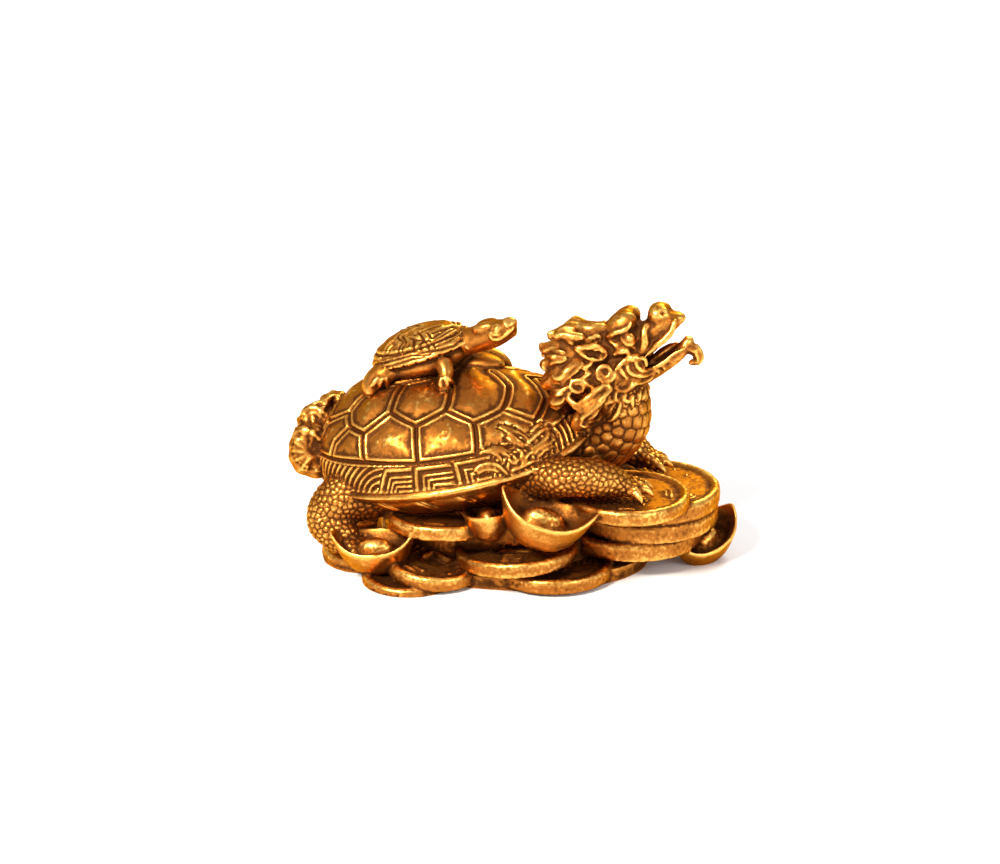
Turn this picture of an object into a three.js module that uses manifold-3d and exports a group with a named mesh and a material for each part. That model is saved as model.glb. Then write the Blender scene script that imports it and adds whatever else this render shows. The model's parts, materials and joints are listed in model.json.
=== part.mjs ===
// A dragon turtle of cast resin with an antique gold finish. It carries a baby turtle on its shell and stands
// on a heap of square-holed coins and boat-shaped ingots, all cast in one piece with a flat underside.
// Millimetres, +Z up, the head towards +X. The origin is on the underside, below the middle of the heap.

import * as THREE from "three";
import { mergeVertices } from "three/addons/utils/BufferGeometryUtils.js";
import Module from "manifold-3d";

const { Matrix4, Vector2, Vector3 } = THREE;
const wasm = await Module();
wasm.setup();

// Driving dimensions. The animals are a free form: their places and girths are in millimetres for a figure
// that is MODELLED_LENGTH long, and grow with FIGURE_LENGTH.
const FIGURE_LENGTH = 97; // tail curls to front ingot
const MODELLED_LENGTH = 97;
const HEAP_FLOOR_THICKNESS = 3; // the cast floor under coins and ingots
const LARGE_COIN = 31; // diameters
const MIDDLE_COIN = 26;
const SMALL_COIN = 20;
const COIN_THICKNESS = 3.3;
const LARGE_COIN_THICKNESS = 4.1;
const COIN_RIM = 1.7; // width of the raised rim round a coin's face
const COIN_RECESS = 0.8; // how deep the face lies under the rim
const COIN_HOLE = 5; // side of the square hole
const COIN_HOLE_DEPTH = 1.2;
const COIN_HOLE_FRAME = 1; // width of the raised frame round the hole
const COIN_SIDES = 16; // flats round a coin's edge
const INGOT_LENGTH = 21; // horn tip to horn tip
const INGOT_WIDTH = 13;
const INGOT_HEIGHT = 7.5; // foot to the rim's low middle
const INGOT_HORN = 3.6; // how far a horn rises above that
const SCUTE_RISE = 0.8; // how far the plates stand out of the shell
const SCUTE_GROOVE = 1.3; // width of the grooves between them
const FRET_RISE = 0.6;
const FRET_BAR = 1.1; // width of the fret's bars
const FRET_MARGIN = 2.5; // degrees of height between the fret and the band's edges
const FRET_COUNT = 15; // bars round the shell; the neck takes the place of one
const FRET_START = 30; // bearing of the first
const SHELL_ROOT = 2; // how deep the plates and bars reach into the shell

const WELD = 1e-3; // vertices closer than this are one
const unit = FIGURE_LENGTH / MODELLED_LENGTH;
const rad = THREE.MathUtils.degToRad;
const body = new Matrix4().makeScale(unit, unit, unit);
const both = (make) => [-1, 1].flatMap(make);

// A frame of its own for a form that is tilted as a whole: nose up by pitch degrees, its origin at x, y, z.
function tilted(x, y, z, pitch) {
  const frame = body.clone().multiply(new Matrix4().makeTranslation(x, y, z));
  return frame.multiply(new Matrix4().makeRotationY(-rad(pitch)));
}

// Solids

function solidOf(geometry) {
  const bare = geometry.clone();
  bare.deleteAttribute("normal");
  bare.deleteAttribute("uv");
  const { index, attributes } = mergeVertices(bare, WELD);
  const vertProperties = attributes.position.array;
  const triVerts = new Uint32Array(index.array);
  return new wasm.Manifold(new wasm.Mesh({ numProp: 3, vertProperties, triVerts }));
}

const joined = (solids) => solids.reduce((whole, solid) => whole.add(solid));

// Moves each vertex of a geometry with move(point), which changes the point in place.
function shaped(geometry, move) {
  const position = geometry.getAttribute("position");
  const point = new Vector3();
  for (let i = 0; i < position.count; i += 1) {
    move(point.fromBufferAttribute(position, i));
    position.setXYZ(i, point.x, point.y, point.z);
  }
  return geometry;
}

// An ellipsoid at [x, y, z] with three half sizes, its front pitched up by degrees.
function lump(centre, sizes, { frame = body, pitch = 0, sides = 8, steps = 5 } = {}) {
  const place = frame.clone().multiply(new Matrix4().makeTranslation(...centre));
  place.multiply(new Matrix4().makeRotationY(-rad(pitch))).multiply(new Matrix4().makeScale(...sizes));
  const ball = new THREE.SphereGeometry(1, sides, steps).rotateX(Math.PI / 2);
  return solidOf(ball.applyMatrix4(place));
}

// A limb through stations [x, y, z, half width, half height]: a ball pulled out along the curve through them.
// Its width lies across its first direction and across up.
function limb(stations, { frame = body, sides = 6, steps = 5, cap = 0.5, up = [0, 0, 1] } = {}) {
  const points = stations.map(([x, y, z]) => new Vector3(x, y, z));
  const path = new THREE.CatmullRomCurve3(points, false, "catmullrom", 0.5);
  const last = stations.length - 1;
  const sizeAt = (t, column) => {
    const from = Math.min(Math.floor(t * last), last - 1);
    return THREE.MathUtils.lerp(stations[from][column], stations[from + 1][column], t * last - from);
  };
  const rings = [];
  let side = null;
  for (let ring = 0; ring < steps - 1; ring += 1) {
    const t = ring / (steps - 2);
    const tangent = path.getTangent(t);
    side ??= new Vector3().crossVectors(tangent, new Vector3(...up));
    side = side.clone().addScaledVector(tangent, -side.dot(tangent)).normalize();
    const lift = side.clone().cross(tangent).negate();
    rings.push({ middle: path.getPoint(t), tangent, side, lift, width: sizeAt(t, 3), height: sizeAt(t, 4) });
  }
  const pulled = shaped(new THREE.SphereGeometry(1, sides, steps), (point) => {
    const row = Math.round((Math.acos(THREE.MathUtils.clamp(point.y, -1, 1)) / Math.PI) * steps);
    const ring = rings[THREE.MathUtils.clamp(row - 1, 0, steps - 2)];
    if (row === 0 || row === steps) {
      const out = cap * Math.min(ring.width, ring.height) * (row === 0 ? -1 : 1);
      point.copy(ring.middle).addScaledVector(ring.tangent, out);
      return;
    }
    const angle = Math.atan2(point.z, point.x);
    point.copy(ring.middle).addScaledVector(ring.side, Math.cos(angle) * ring.width);
    point.addScaledVector(ring.lift, Math.sin(angle) * ring.height);
  });
  return solidOf(pulled.applyMatrix4(frame));
}

// A profile of [radius, height] spun round +Z, its radius stretched to along and across.
function turned(profile, along, across, segments) {
  const outline = profile.map(([radius, height]) => new Vector2(radius, height));
  return new THREE.LatheGeometry(outline, segments).rotateX(Math.PI / 2).scale(along, across, 1);
}

// The shell: superellipse arcs from the rim up to the crown, which sits behind the middle. Its plates run
// from the band round the rim up to a zigzag of tips and dips, and above that over the crown. Bounds are the
// bearings where the side plates meet, from 0 at the head.
const SHELL = {
  middle: [-11.2, 0, 22.2],
  pitch: 12.8,
  halfLength: 30.2,
  halfWidth: 24,
  rise: 19.4,
  crownShift: -4.4,
  lip: 1.035,
  lipDepth: 1.5,
  collarLift: 3,
  collarSpread: 22,
  bandTop: 18,
  costalDip: 42,
  costalTip: 50.5,
  bounds: [27, 57, 88, 119, 152, 208, 241, 272, 303, 333, 387],
};
const shellFrame = tilted(...SHELL.middle, SHELL.pitch);

// The place on the shell at a bearing round it (0 is the head) and a height angle, lifted out by rise.
function onShell(bearing, height, rise = 0) {
  const power = 2 / (1.95 - 0.3 * Math.cos(rad(bearing)));
  const level = Math.cos(rad(height)) ** power;
  const up = Math.sin(rad(height)) ** power;
  const out = 1 + rise / SHELL.halfWidth;
  return new Vector3(
    SHELL.crownShift * up + SHELL.halfLength * level * Math.cos(rad(bearing)) * out,
    SHELL.halfWidth * level * Math.sin(rad(bearing)) * out,
    SHELL.rise * up * out + collarLift(bearing) * level,
  );
}

// The rim sweeps up where it makes room for the neck.
function collarLift(bearing) {
  const fromNeck = ((((bearing + 180) % 360) + 360) % 360) - 180;
  return SHELL.collarLift * Math.exp(-0.5 * (fromNeck / SHELL.collarSpread) ** 2);
}

// The height of the zigzag between side plates and crown plates at a bearing.
function zigzagHeight(column, bearing) {
  const { from, to } = column;
  const share = Math.abs(bearing - (from + to) / 2) / ((to - from) / 2);
  return THREE.MathUtils.lerp(SHELL.costalTip, SHELL.costalDip, share);
}

// The shell is a grid of columns round it and rows up it. Each side plate has a column in the groove before
// it, one at each of its edges and one up its middle. Above the zigzag that one is the groove between plates.
function shellDome() {
  const edge = (SCUTE_GROOVE / (SHELL.halfWidth * unit)) * (90 / Math.PI);
  const columns = SHELL.bounds.slice(1).flatMap((to, i) => {
    const from = SHELL.bounds[i];
    const middle = (from + to) / 2;
    const span = { from, to, end: middle % 180 === 0 };
    return [
      { ...span, bearing: from, groove: true },
      { ...span, bearing: from + 2 * edge },
      { ...span, bearing: middle, middle: true },
      { ...span, bearing: to - 2 * edge },
    ];
  });
  const { bandTop, lip, lipDepth } = SHELL;
  const plateRise = SCUTE_RISE / unit;
  const under = (reach, depth) => (column) => {
    const [dx, dy] = [Math.cos(rad(column.bearing)), Math.sin(rad(column.bearing))];
    const lift = collarLift(column.bearing) * Math.min(reach, 1);
    return new Vector3(SHELL.halfLength * reach * dx, SHELL.halfWidth * reach * dy, lift - depth);
  };
  const ground = (height) => (column) => onShell(column.bearing, height);
  const sidePlate = (share) => (column) => {
    const height = THREE.MathUtils.lerp(bandTop, zigzagHeight(column, column.bearing), share);
    const crowned = column.middle && share < 0.9 ? 1.5 : 1;
    return onShell(column.bearing, height, column.groove ? 0 : plateRise * crowned);
  };
  const zigzag = (column) => onShell(column.bearing, zigzagHeight(column, column.bearing));
  const crownPlate = (share) => (column) => {
    const height = THREE.MathUtils.lerp(zigzagHeight(column, column.bearing), 90, share);
    return onShell(column.bearing, height, column.middle && !column.end ? 0 : plateRise);
  };
  const rows = [
    under(0, 2 * lipDepth),
    under(0.86, 2 * lipDepth),
    under(lip, lipDepth),
    ground(0),
    ground(bandTop - 2),
    sidePlate(0),
    sidePlate(0.5),
    sidePlate(0.92),
    zigzag,
    crownPlate(0.08),
    crownPlate(0.5),
    (column) => onShell(column.bearing, 90, plateRise),
  ];
  const last = rows.length - 1;
  const profile = rows.map((_, row) => [row === 0 || row === last ? 0 : 1, row]);
  const dome = shaped(turned(profile, 1, 1, columns.length), (point) => {
    const turn = Math.atan2(point.y, point.x) / (2 * Math.PI);
    const column = columns[Math.round((turn + 1) * columns.length) % columns.length];
    point.copy(rows[Math.round(point.z)](column));
  });
  return solidOf(dome.applyMatrix4(shellFrame));
}

// One bar of the fret: an L standing on the band between the rim and the lowest groove.
function fretBar(bearing, width) {
  const across = (FRET_BAR / (SHELL.halfLength * unit)) * (180 / Math.PI);
  const up = (FRET_BAR / (SHELL.rise * unit)) * (180 / Math.PI);
  const low = FRET_MARGIN;
  const high = SHELL.bandTop - FRET_MARGIN;
  const bend = high - up;
  const corners = [[0, low], [across, low], [across, bend], [width, bend], [width, high], [0, high]];
  const outline = new THREE.Shape(corners.map(([x, y]) => new Vector2(x, y)));
  const bar = shaped(new THREE.ExtrudeGeometry(outline, { depth: 1, bevelEnabled: false }), (point) => {
    point.copy(onShell(bearing + point.x, point.y, point.z > 0.5 ? FRET_RISE / unit : -SHELL_ROOT));
  });
  return solidOf(bar.applyMatrix4(shellFrame));
}

function frets() {
  const pitch = 360 / FRET_COUNT;
  const bearings = Array.from({ length: FRET_COUNT - 1 }, (_, i) => FRET_START + i * pitch);
  return bearings.map((bearing) => fretBar(bearing, pitch * 0.8));
}

// The big turtle's body

function trunk() {
  const neck = [
    [6, 0, 25.5, 10, 7.5],
    [16.5, 0, 26.5, 8, 7.4],
    [22.6, 0, 31.5, 6.8, 7],
    [23.4, 0, 37.5, 6.2, 6.2],
    [21.5, 0, 44, 5.4, 5.6],
  ];
  return [
    lump([-1, 0, -1.2], [28.5, 22.3, 9.4], { frame: shellFrame, sides: 16, steps: 6 }),
    limb(neck, { sides: 10, steps: 6 }),
  ];
}

// A foot's toes fan out from the wrist at the given bearings. Each runs down to its claw on the floor.
function toes([x, y], bearings, floor, reach) {
  return bearings.map((bearing) => {
    const [dx, dy] = [reach * Math.cos(rad(bearing)), reach * Math.sin(rad(bearing))];
    const at = (share, lift, girth) => [x + share * dx, y + share * dy, floor + lift, girth, girth];
    return limb([at(0, 2.2, 1.9), at(0.6, 2.3, 1.5), at(1.25, 0.3, 0.3)], { sides: 4, steps: 4 });
  });
}

// Hind legs bend back and down beside the heap. Front legs reach forward onto the coins, each at its own
// height.
function legs(nearFloor, farFloor) {
  const hind = (s) => [
    [-25, s * 12, 17.3, 6.1, 6.1],
    [-33, s * 14.5, 15, 5.6, 5.8],
    [-36, s * 16.8, 10.5, 4.6, 4.8],
    [-31.5, s * 19, 6.8, 4.2, 3.4],
  ];
  const front = (s, floor) => [
    [7, s * 12.6, 22.4, 5.6, 5],
    [14.5, s * 16.4, 24.6, 4.2, 4.1],
    [21.4, s * 15.2, floor + 5, 4.1, 3.9],
    [26.2, s * 12, floor + 3, 3.7, 2.8],
  ];
  const leg = (stations) => limb(stations, { sides: 7, steps: 6 });
  const hindLeg = (s) => [leg(hind(s)), ...toes([-31, s * 19.5], [s * 62, s * 30, s * 2], 4.2, 6)];
  const frontLeg = (s, floor) => {
    const bearings = [s * 40, s * 5, s * -30];
    return [leg(front(s, floor)), ...toes([26, s * 11.7], bearings, floor, 5.8)];
  };
  return [...both(hindLeg), ...frontLeg(-1, nearFloor), ...frontLeg(1, farFloor)];
}

// The tail fans out into fat curls that roll over like waves: the place and radius of each roll.
const TAIL_CURLS = [
  [-39.9, 2.6, 29, 3.8],
  [-42.4, -2.4, 27.6, 4.2],
  [-43, -6.8, 24, 4.4],
  [-41.6, 7.4, 25, 4],
];

function tail() {
  const curl = ([x, y, z, radius]) => {
    const width = radius * 0.62;
    const stem = [
      [-36, y * 0.5, 18, 3.6, 3],
      [x - radius * 0.3, y, z - radius * 1.1, width, 2.6],
      [x - radius * 0.45, y, z + radius * 0.15, width, 2.2],
      [x + radius * 0.3, y, z + radius * 0.55, width * 0.9, 1.7],
      [x + radius * 0.9, y, z, width * 0.6, 1],
    ];
    return limb(stem, { sides: 6, steps: 7 });
  };
  const root = [
    [-30, 0, 16, 8, 6],
    [-36.5, -0.5, 18.5, 7, 5],
    [-40, -1, 23, 5.5, 3.4],
  ];
  return [limb(root, { sides: 8 }), ...TAIL_CURLS.map(curl)];
}

// The dragon's head, in a frame of its own at the skull, looking along +x and up.
const headFrame = tilted(22.8, 0, 47.7, 36);

function skullAndJaws() {
  const inHead = { frame: headFrame };
  const snout = [
    [1, 0, 0.4, 4.6, 4.6],
    [7, 0, -0.6, 3.7, 3.2],
    [11.5, 0, -0.6, 3.4, 2.6],
    [14.4, 0, -1.2, 2.5, 1.4],
    [16.3, 0, -1.9, 0.9, 0.5],
  ];
  const jaw = [
    [0, 0, -6.4, 4, 3.2],
    [5, 0, -7.4, 3.2, 2],
    [10.5, 0, -7.3, 2.7, 1.6],
    [14.6, 0, -6, 1.6, 1.2],
  ];
  const goatee = [
    [13, 0, -7.1, 1.6, 1.3],
    [14.1, 0, -9, 1.5, 1.2],
    [13.3, 0, -10.7, 1.2, 1],
    [11.3, 0, -10.4, 0.6, 0.5],
  ];
  return [
    lump([-0.5, 0, 0.6], [6.6, 5, 6], { ...inHead, sides: 8, steps: 6 }),
    limb(snout, { ...inHead, sides: 8, steps: 6 }),
    lump([12, 0, 2.2], [2.4, 3.3, 2.2], { ...inHead, pitch: 10 }),
    limb(jaw, { ...inHead, sides: 7 }),
    limb(goatee, { ...inHead, sides: 5, up: [1, 0, 0] }),
  ];
}

function headSide(s) {
  const inHead = { frame: headFrame };
  const lip = [
    [6, s * 3.5, -3.2, 0.8, 1],
    [10.2, s * 3.2, -2.4, 0.8, 0.9],
    [13.6, s * 2.2, -1.6, 0.7, 0.8],
  ];
  const horn = [
    [-1, s * 2.8, 4.6, 1.9, 1.9],
    [-4, s * 4.2, 7, 1.4, 1.4],
    [-6.9, s * 5.4, 9.8, 0.6, 0.6],
  ];
  const ear = [
    [-0.5, s * 4.6, 1.4, 1, 0.8],
    [-2.6, s * 6.8, 3.6, 2.1, 0.7],
    [-4.6, s * 8.2, 6.6, 0.5, 0.3],
  ];
  const whisker = [
    [9.6, s * 3.1, 1.6, 0.6, 0.6],
    [7, s * 4, -1.2, 0.6, 0.6],
    [3.6, s * 5.6, -2.2, 0.6, 0.6],
    [0, s * 6.2, -1.9, 0.7, 0.7],
    [-2.4, s * 6.6, 0.4, 0.7, 0.7],
    [-4.6, s * 6.8, -1.4, 0.7, 0.7],
    [-2.7, s * 6.9, -2.8, 0.6, 0.6],
  ];
  return [
    lump([4.4, s * 2.5, 4.4], [3.7, 2.5, 3], { ...inHead, pitch: 4, sides: 7 }),
    limb(lip, { ...inHead, sides: 4, steps: 4 }),
    limb(horn, { ...inHead, sides: 4, steps: 4 }),
    limb(ear, { ...inHead, sides: 4, steps: 4, up: [0, s, 0] }),
    lump([0.6, s * 4.6, -4.8], [4.6, 1.6, 2.9], { ...inHead, pitch: 18, sides: 6, steps: 4 }),
    limb(whisker, { ...inHead, sides: 3, steps: 9 }),
  ];
}

// Locks of the mane beside the neck, each from its root over its belly to its curling tip, and its girth.
const SIDE_LOCKS = [
  [[18, 4.2, 51], [12.8, 5.4, 50.2], [8, 4.4, 48.4], 1.7],
  [[18.6, 5.6, 48.6], [12.4, 7.4, 47.4], [8.6, 6.2, 45.2], 1.9],
  [[19, 6.6, 46.4], [13, 8.8, 44.4], [9, 7.4, 41.4], 1.9],
  [[19.8, 7, 44.6], [14.6, 9.8, 41.4], [10.8, 8.8, 38], 1.9],
  [[22, 7, 43.2], [19.5, 10.8, 39], [16.6, 11.4, 34.4], 2.2],
];
// Tufts down the back of the mane: where each starts, where it ends.
const CREST_TUFTS = [
  [[15.5, 51], [9, 50]],
  [[13, 47.6], [6.6, 45.4]],
  [[12, 43], [6.8, 39.6]],
];

function mane() {
  const lock = ([root, belly, tip, girth], s) => {
    const at = ([x, y, z], width, height) => [x, s * y, z, width, height];
    const [x, y, z] = tip;
    const hook = [x - 0.9, y - 0.4, z + 1.3];
    const stations = [
      at(root, girth * 0.7, 1),
      at(belly, girth, 1.4),
      at(tip, girth * 0.8, 1.1),
      at(hook, 0.5, 0.4),
    ];
    return limb(stations, { sides: 4, up: [0, s, 0] });
  };
  const tuft = ([[x0, z0], [x1, z1]]) => {
    const stations = [
      [x0, 0, z0, 2.2, 1.6],
      [(x0 + x1) / 2, 0, (z0 + z1) / 2 + 1, 2, 1.4],
      [x1, 0, z1, 0.7, 0.6],
    ];
    return limb(stations, { sides: 4, steps: 4 });
  };
  return [
    lump([16.5, 0, 43.5], [7.6, 7, 8]),
    lump([20, 0, 39.5], [6, 8.6, 5.4]),
    ...both((s) => SIDE_LOCKS.map((row) => lock(row, s))),
    ...CREST_TUFTS.map(tuft),
  ];
}

// The baby turtle, in a frame of its own at its shell.
const babyFrame = tilted(-19.4, 0, 44.6, 19);
const BABY_DOME = [[0, -1.2], [8.6, -1], [11.6, -0.2], [11.2, 1], [9, 3.2], [5, 4.9], [0, 5.5]];
const BABY_SHELL_NARROWING = 0.78;

function babyTurtle() {
  const inBaby = { frame: babyFrame };
  const neck = [
    [6, 0, -0.8, 3.6, 3.1],
    [12, -0.9, -0.5, 3, 2.9],
    [17.4, -2.4, 0.1, 2.9, 3],
    [21.8, -3.2, 0.4, 1.8, 1.9],
  ];
  const tailTip = [
    [-28, 0, 41, 1.6, 1.2],
    [-31.2, 0, 38.4, 0.9, 0.8],
    [-33, 1, 36.4, 0.5, 0.5],
  ];
  const nearArm = [
    [-13.4, -6.2, 44.4, 2.1, 2.1],
    [-12.2, -8.4, 42.4, 1.6, 1.6],
    [-12.8, -9, 40.6, 1.4, 1.3],
    [-12, -9.8, 39.2, 1.6, 0.9],
  ];
  const farArm = [
    [-12, 6, 44, 2.4, 2.2],
    [-6.6, 7, 42.6, 1.8, 1.6],
    [-3.4, 7, 41, 1.5, 1.4],
    [-2, 7, 38.4, 1.8, 1],
  ];
  const thigh = (s) => [
    [-25.4, s * 5, 41.4, 2.8, 2.4],
    [-28.6, s * 6.8, 39, 2.4, 2.2],
    [-29.6, s * 7.8, 36.4, 2.2, 1.3],
  ];
  const eye = { ...inBaby, sides: 6, steps: 4 };
  return [
    solidOf(turned(BABY_DOME, 1, BABY_SHELL_NARROWING, 16).applyMatrix4(babyFrame)),
    lump([0, 0, -2], [10, 7.6, 3.4], { ...inBaby, sides: 10 }),
    limb(neck, { ...inBaby, sides: 8, steps: 6 }),
    ...both((s) => lump([16.6, -2.4 + s * 1.7, 2.3], [1.5, 0.9, 0.9], eye)),
    ...[nearArm, farArm].map((stations) => limb(stations, { sides: 5 })),
    ...both((s) => limb(thigh(s), { sides: 5, steps: 4 })),
    limb(tailTip, { sides: 5, steps: 4 }),
  ];
}

// Coins and ingots. Their sizes are their own, and only their places are shares of the figure.

function placed(geometry, [x, y, z], [roll, pitch, yaw]) {
  const turn = new THREE.Euler(rad(roll), rad(pitch), rad(yaw), "ZYX");
  const place = new Matrix4().makeRotationFromEuler(turn).setPosition(x * unit, y * unit, z);
  return solidOf(geometry.applyMatrix4(place));
}

// A coin that others cover all but for its edge.
function coveredCoin(diameter, place, turn = [0, 0, 0], thickness = COIN_THICKNESS) {
  const radius = diameter / 2;
  const profile = [[0, 0], [radius, 0], [radius, thickness], [0, thickness]];
  return placed(turned(profile, 1, 1, COIN_SIDES), place, turn);
}

// A coin whose face shows under a raised rim.
function rimmedCoin(diameter, place, turn = [0, 0, 0], thickness = COIN_THICKNESS) {
  const radius = diameter / 2;
  const inner = radius - COIN_RIM;
  const face = thickness - COIN_RECESS;
  const profile = [[0, 0], [radius, 0], [radius, thickness], [inner, thickness], [inner, face], [0, face]];
  return placed(turned(profile, 1, 1, COIN_SIDES), place, turn);
}

// A coin whose middle shows too: a raised frame round a square hole.
function holedCoin(diameter, place, turn) {
  const top = COIN_THICKNESS;
  const frameSide = COIN_HOLE + 2 * COIN_HOLE_FRAME;
  const frame = new THREE.BoxGeometry(frameSide, frameSide, top).translate(0, 0, top / 2);
  const depth = 2 * (COIN_RECESS + COIN_HOLE_DEPTH);
  const pit = new THREE.BoxGeometry(COIN_HOLE, COIN_HOLE, depth).translate(0, 0, top);
  const disc = rimmedCoin(diameter, place, turn).add(placed(frame, place, turn));
  return disc.subtract(placed(pit, place, turn));
}

// A boat-shaped ingot's half profile in shares of its half length and its height.
const INGOT_PROFILE = [
  [0, 0],
  [0.46, 0], // foot
  [0.8, 0.5],
  [1, 0.97], // rim
  [0.86, 1],
  [0.5, 0.66], // bowl
  [0.3, 1.06],
  [0, 1.12], // dome
];
const INGOT_SEGMENTS = 10;

function ingot(size, place, turn) {
  const halfLength = INGOT_LENGTH / 2;
  const halfWidth = INGOT_WIDTH / 2;
  const bowl = shaped(turned(INGOT_PROFILE, halfLength, halfWidth, INGOT_SEGMENTS), (point) => {
    const along = Math.abs(point.x / halfLength);
    point.y *= 1 - 0.4 * along ** 5;
    point.z = point.z * INGOT_HEIGHT + INGOT_HORN * along ** 3;
  });
  return placed(bowl.scale(size, size, size), place, turn);
}

// The stack of large coins under the front feet, lowest first, and the coin on top of them.
const STACK = [[25.7, 3.5], [28.8, 4.1], [29, 4.3]];
const TOP_COIN = [26.9, -7.9];
const TOP_COIN_SINKS = 0.7;
const stackBase = HEAP_FLOOR_THICKNESS + 1.6;
const stackTop = stackBase + STACK.length * LARGE_COIN_THICKNESS;
const topCoinBase = stackTop - TOP_COIN_SINKS;

function stack() {
  const level = [0, 0, 0];
  const large = STACK.map(([x, y], i) => {
    const make = i < STACK.length - 1 ? coveredCoin : rimmedCoin;
    return make(LARGE_COIN, [x, y, stackBase + i * LARGE_COIN_THICKNESS], level, LARGE_COIN_THICKNESS);
  });
  return [...large, rimmedCoin(MIDDLE_COIN, [...TOP_COIN, topCoinBase])];
}

// Coins strewn round the heap with their faces up: each has its diameter, place and turn.
const STREWN_COINS = [
  [SMALL_COIN, [-12.9, -18.6, 1.6], [6, 0, 60]],
  [SMALL_COIN, [-17.7, -20, -1], [4, 0, 20]],
];
const COVERED_COINS = [
  [MIDDLE_COIN, [11.4, -11, 0.7]],
  [MIDDLE_COIN, [4.4, -13.6, 4.3], [-2, -4, 5]],
  [MIDDLE_COIN, [-12, -11.4, 10.4], [-1, 0, 0]],
  [SMALL_COIN, [-29.4, -9.6, 0.4], [4, -4, 0]],
  [SMALL_COIN, [-29.4, 8, 0.4], [-4, -6, 25]],
  [MIDDLE_COIN, [-16, 13.6, 0.6], [-5, 0, 30]],
  [MIDDLE_COIN, [3, 14, 1.2], [-4, 0, 50]],
  [MIDDLE_COIN, [14, 13, 4.6], [-3, 0, 10]],
  [MIDDLE_COIN, [-13, 11, 10.4]],
];
// Ingots: size, place and turn.
const INGOTS = [
  [0.88, [-24.3, -21.2, 2.2], [10, -4, 8]],
  [1, [10, -20.9, 11.2], [10, 16, 10]],
  [0.8, [-0.6, -18.6, 10.2], [4, -8, -72]],
  [0.84, [42, 7, 0], [12, -20, 52]],
  [0.9, [-26, 19, 2.2], [-10, 4, -14]],
  [1, [2, 21, 5], [-12, -5, 6]],
  [0.8, [22, 18.5, 2.4], [-12, 0, -28]],
];

// The cast floor is an oval, and the core is the drum that fills the heap's inside. Both are [middle, half
// length, half width], and the core reaches up into the belly.
const FLOOR_OVAL = [-2.5, 32.5, 22];
const CORE_OVAL = [-4, 27, 17];
const CORE_TOP = 15;

function heap() {
  const drum = ([middle, along, across], height, sides, topShare) => {
    const upright = new THREE.CylinderGeometry(topShare, 1, height, sides).rotateX(Math.PI / 2);
    return upright.scale(along * unit, across * unit, 1).translate(middle * unit, 0, height / 2);
  };
  const floor = drum(FLOOR_OVAL, HEAP_FLOOR_THICKNESS, 20, 1);
  const core = drum(CORE_OVAL, CORE_TOP * unit, 8, 0.85);
  return [
    solidOf(floor),
    solidOf(core),
    ...stack(),
    ...STREWN_COINS.map((row) => holedCoin(...row)),
    ...COVERED_COINS.map((row) => coveredCoin(...row)),
    ...INGOTS.map((row) => ingot(...row)),
  ];
}

// All of it is one casting, trimmed flat where it stands, and solid between the things heaped in it.
function casting() {
  const shell = [shellDome(), ...frets()];
  const turtle = [...trunk(), ...legs(topCoinBase + COIN_THICKNESS, stackTop), ...tail(), ...shell];
  const dragon = [...skullAndJaws(), ...both(headSide), ...mane()];
  const reach = 4 * FIGURE_LENGTH;
  const ground = new THREE.BoxGeometry(reach, reach, reach).translate(0, 0, -reach / 2);
  const whole = joined([...heap(), ...turtle, ...dragon, ...babyTurtle()]).subtract(solidOf(ground));
  return joined(whole.decompose().filter((piece) => piece.volume() > 0));
}

function geometryOf(solid) {
  const { numProp, vertProperties, triVerts } = solid.getMesh();
  const buffer = new THREE.InterleavedBuffer(vertProperties, numProp);
  const geometry = new THREE.BufferGeometry();
  geometry.setAttribute("position", new THREE.InterleavedBufferAttribute(buffer, 3, 0));
  geometry.setIndex(new THREE.BufferAttribute(triVerts, 1));
  return geometry.toNonIndexed();
}

const antiqueGold = new THREE.MeshStandardMaterial({ color: 0xb9741f, metalness: 0.85, roughness: 0.38 });
const figure = new THREE.Mesh(geometryOf(casting()), antiqueGold);
figure.name = "dragon_turtle";

const group = new THREE.Group();
group.add(figure);

export default group;
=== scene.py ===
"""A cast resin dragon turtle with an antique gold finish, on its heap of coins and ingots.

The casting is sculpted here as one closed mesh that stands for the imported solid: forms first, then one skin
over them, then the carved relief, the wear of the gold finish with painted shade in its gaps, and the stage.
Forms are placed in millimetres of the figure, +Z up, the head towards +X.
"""

import json
import math
from itertools import product

import bmesh
import bpy
import numpy as np
from mathutils import Matrix, Vector, kdtree
from mathutils.bvhtree import BVHTree

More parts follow.
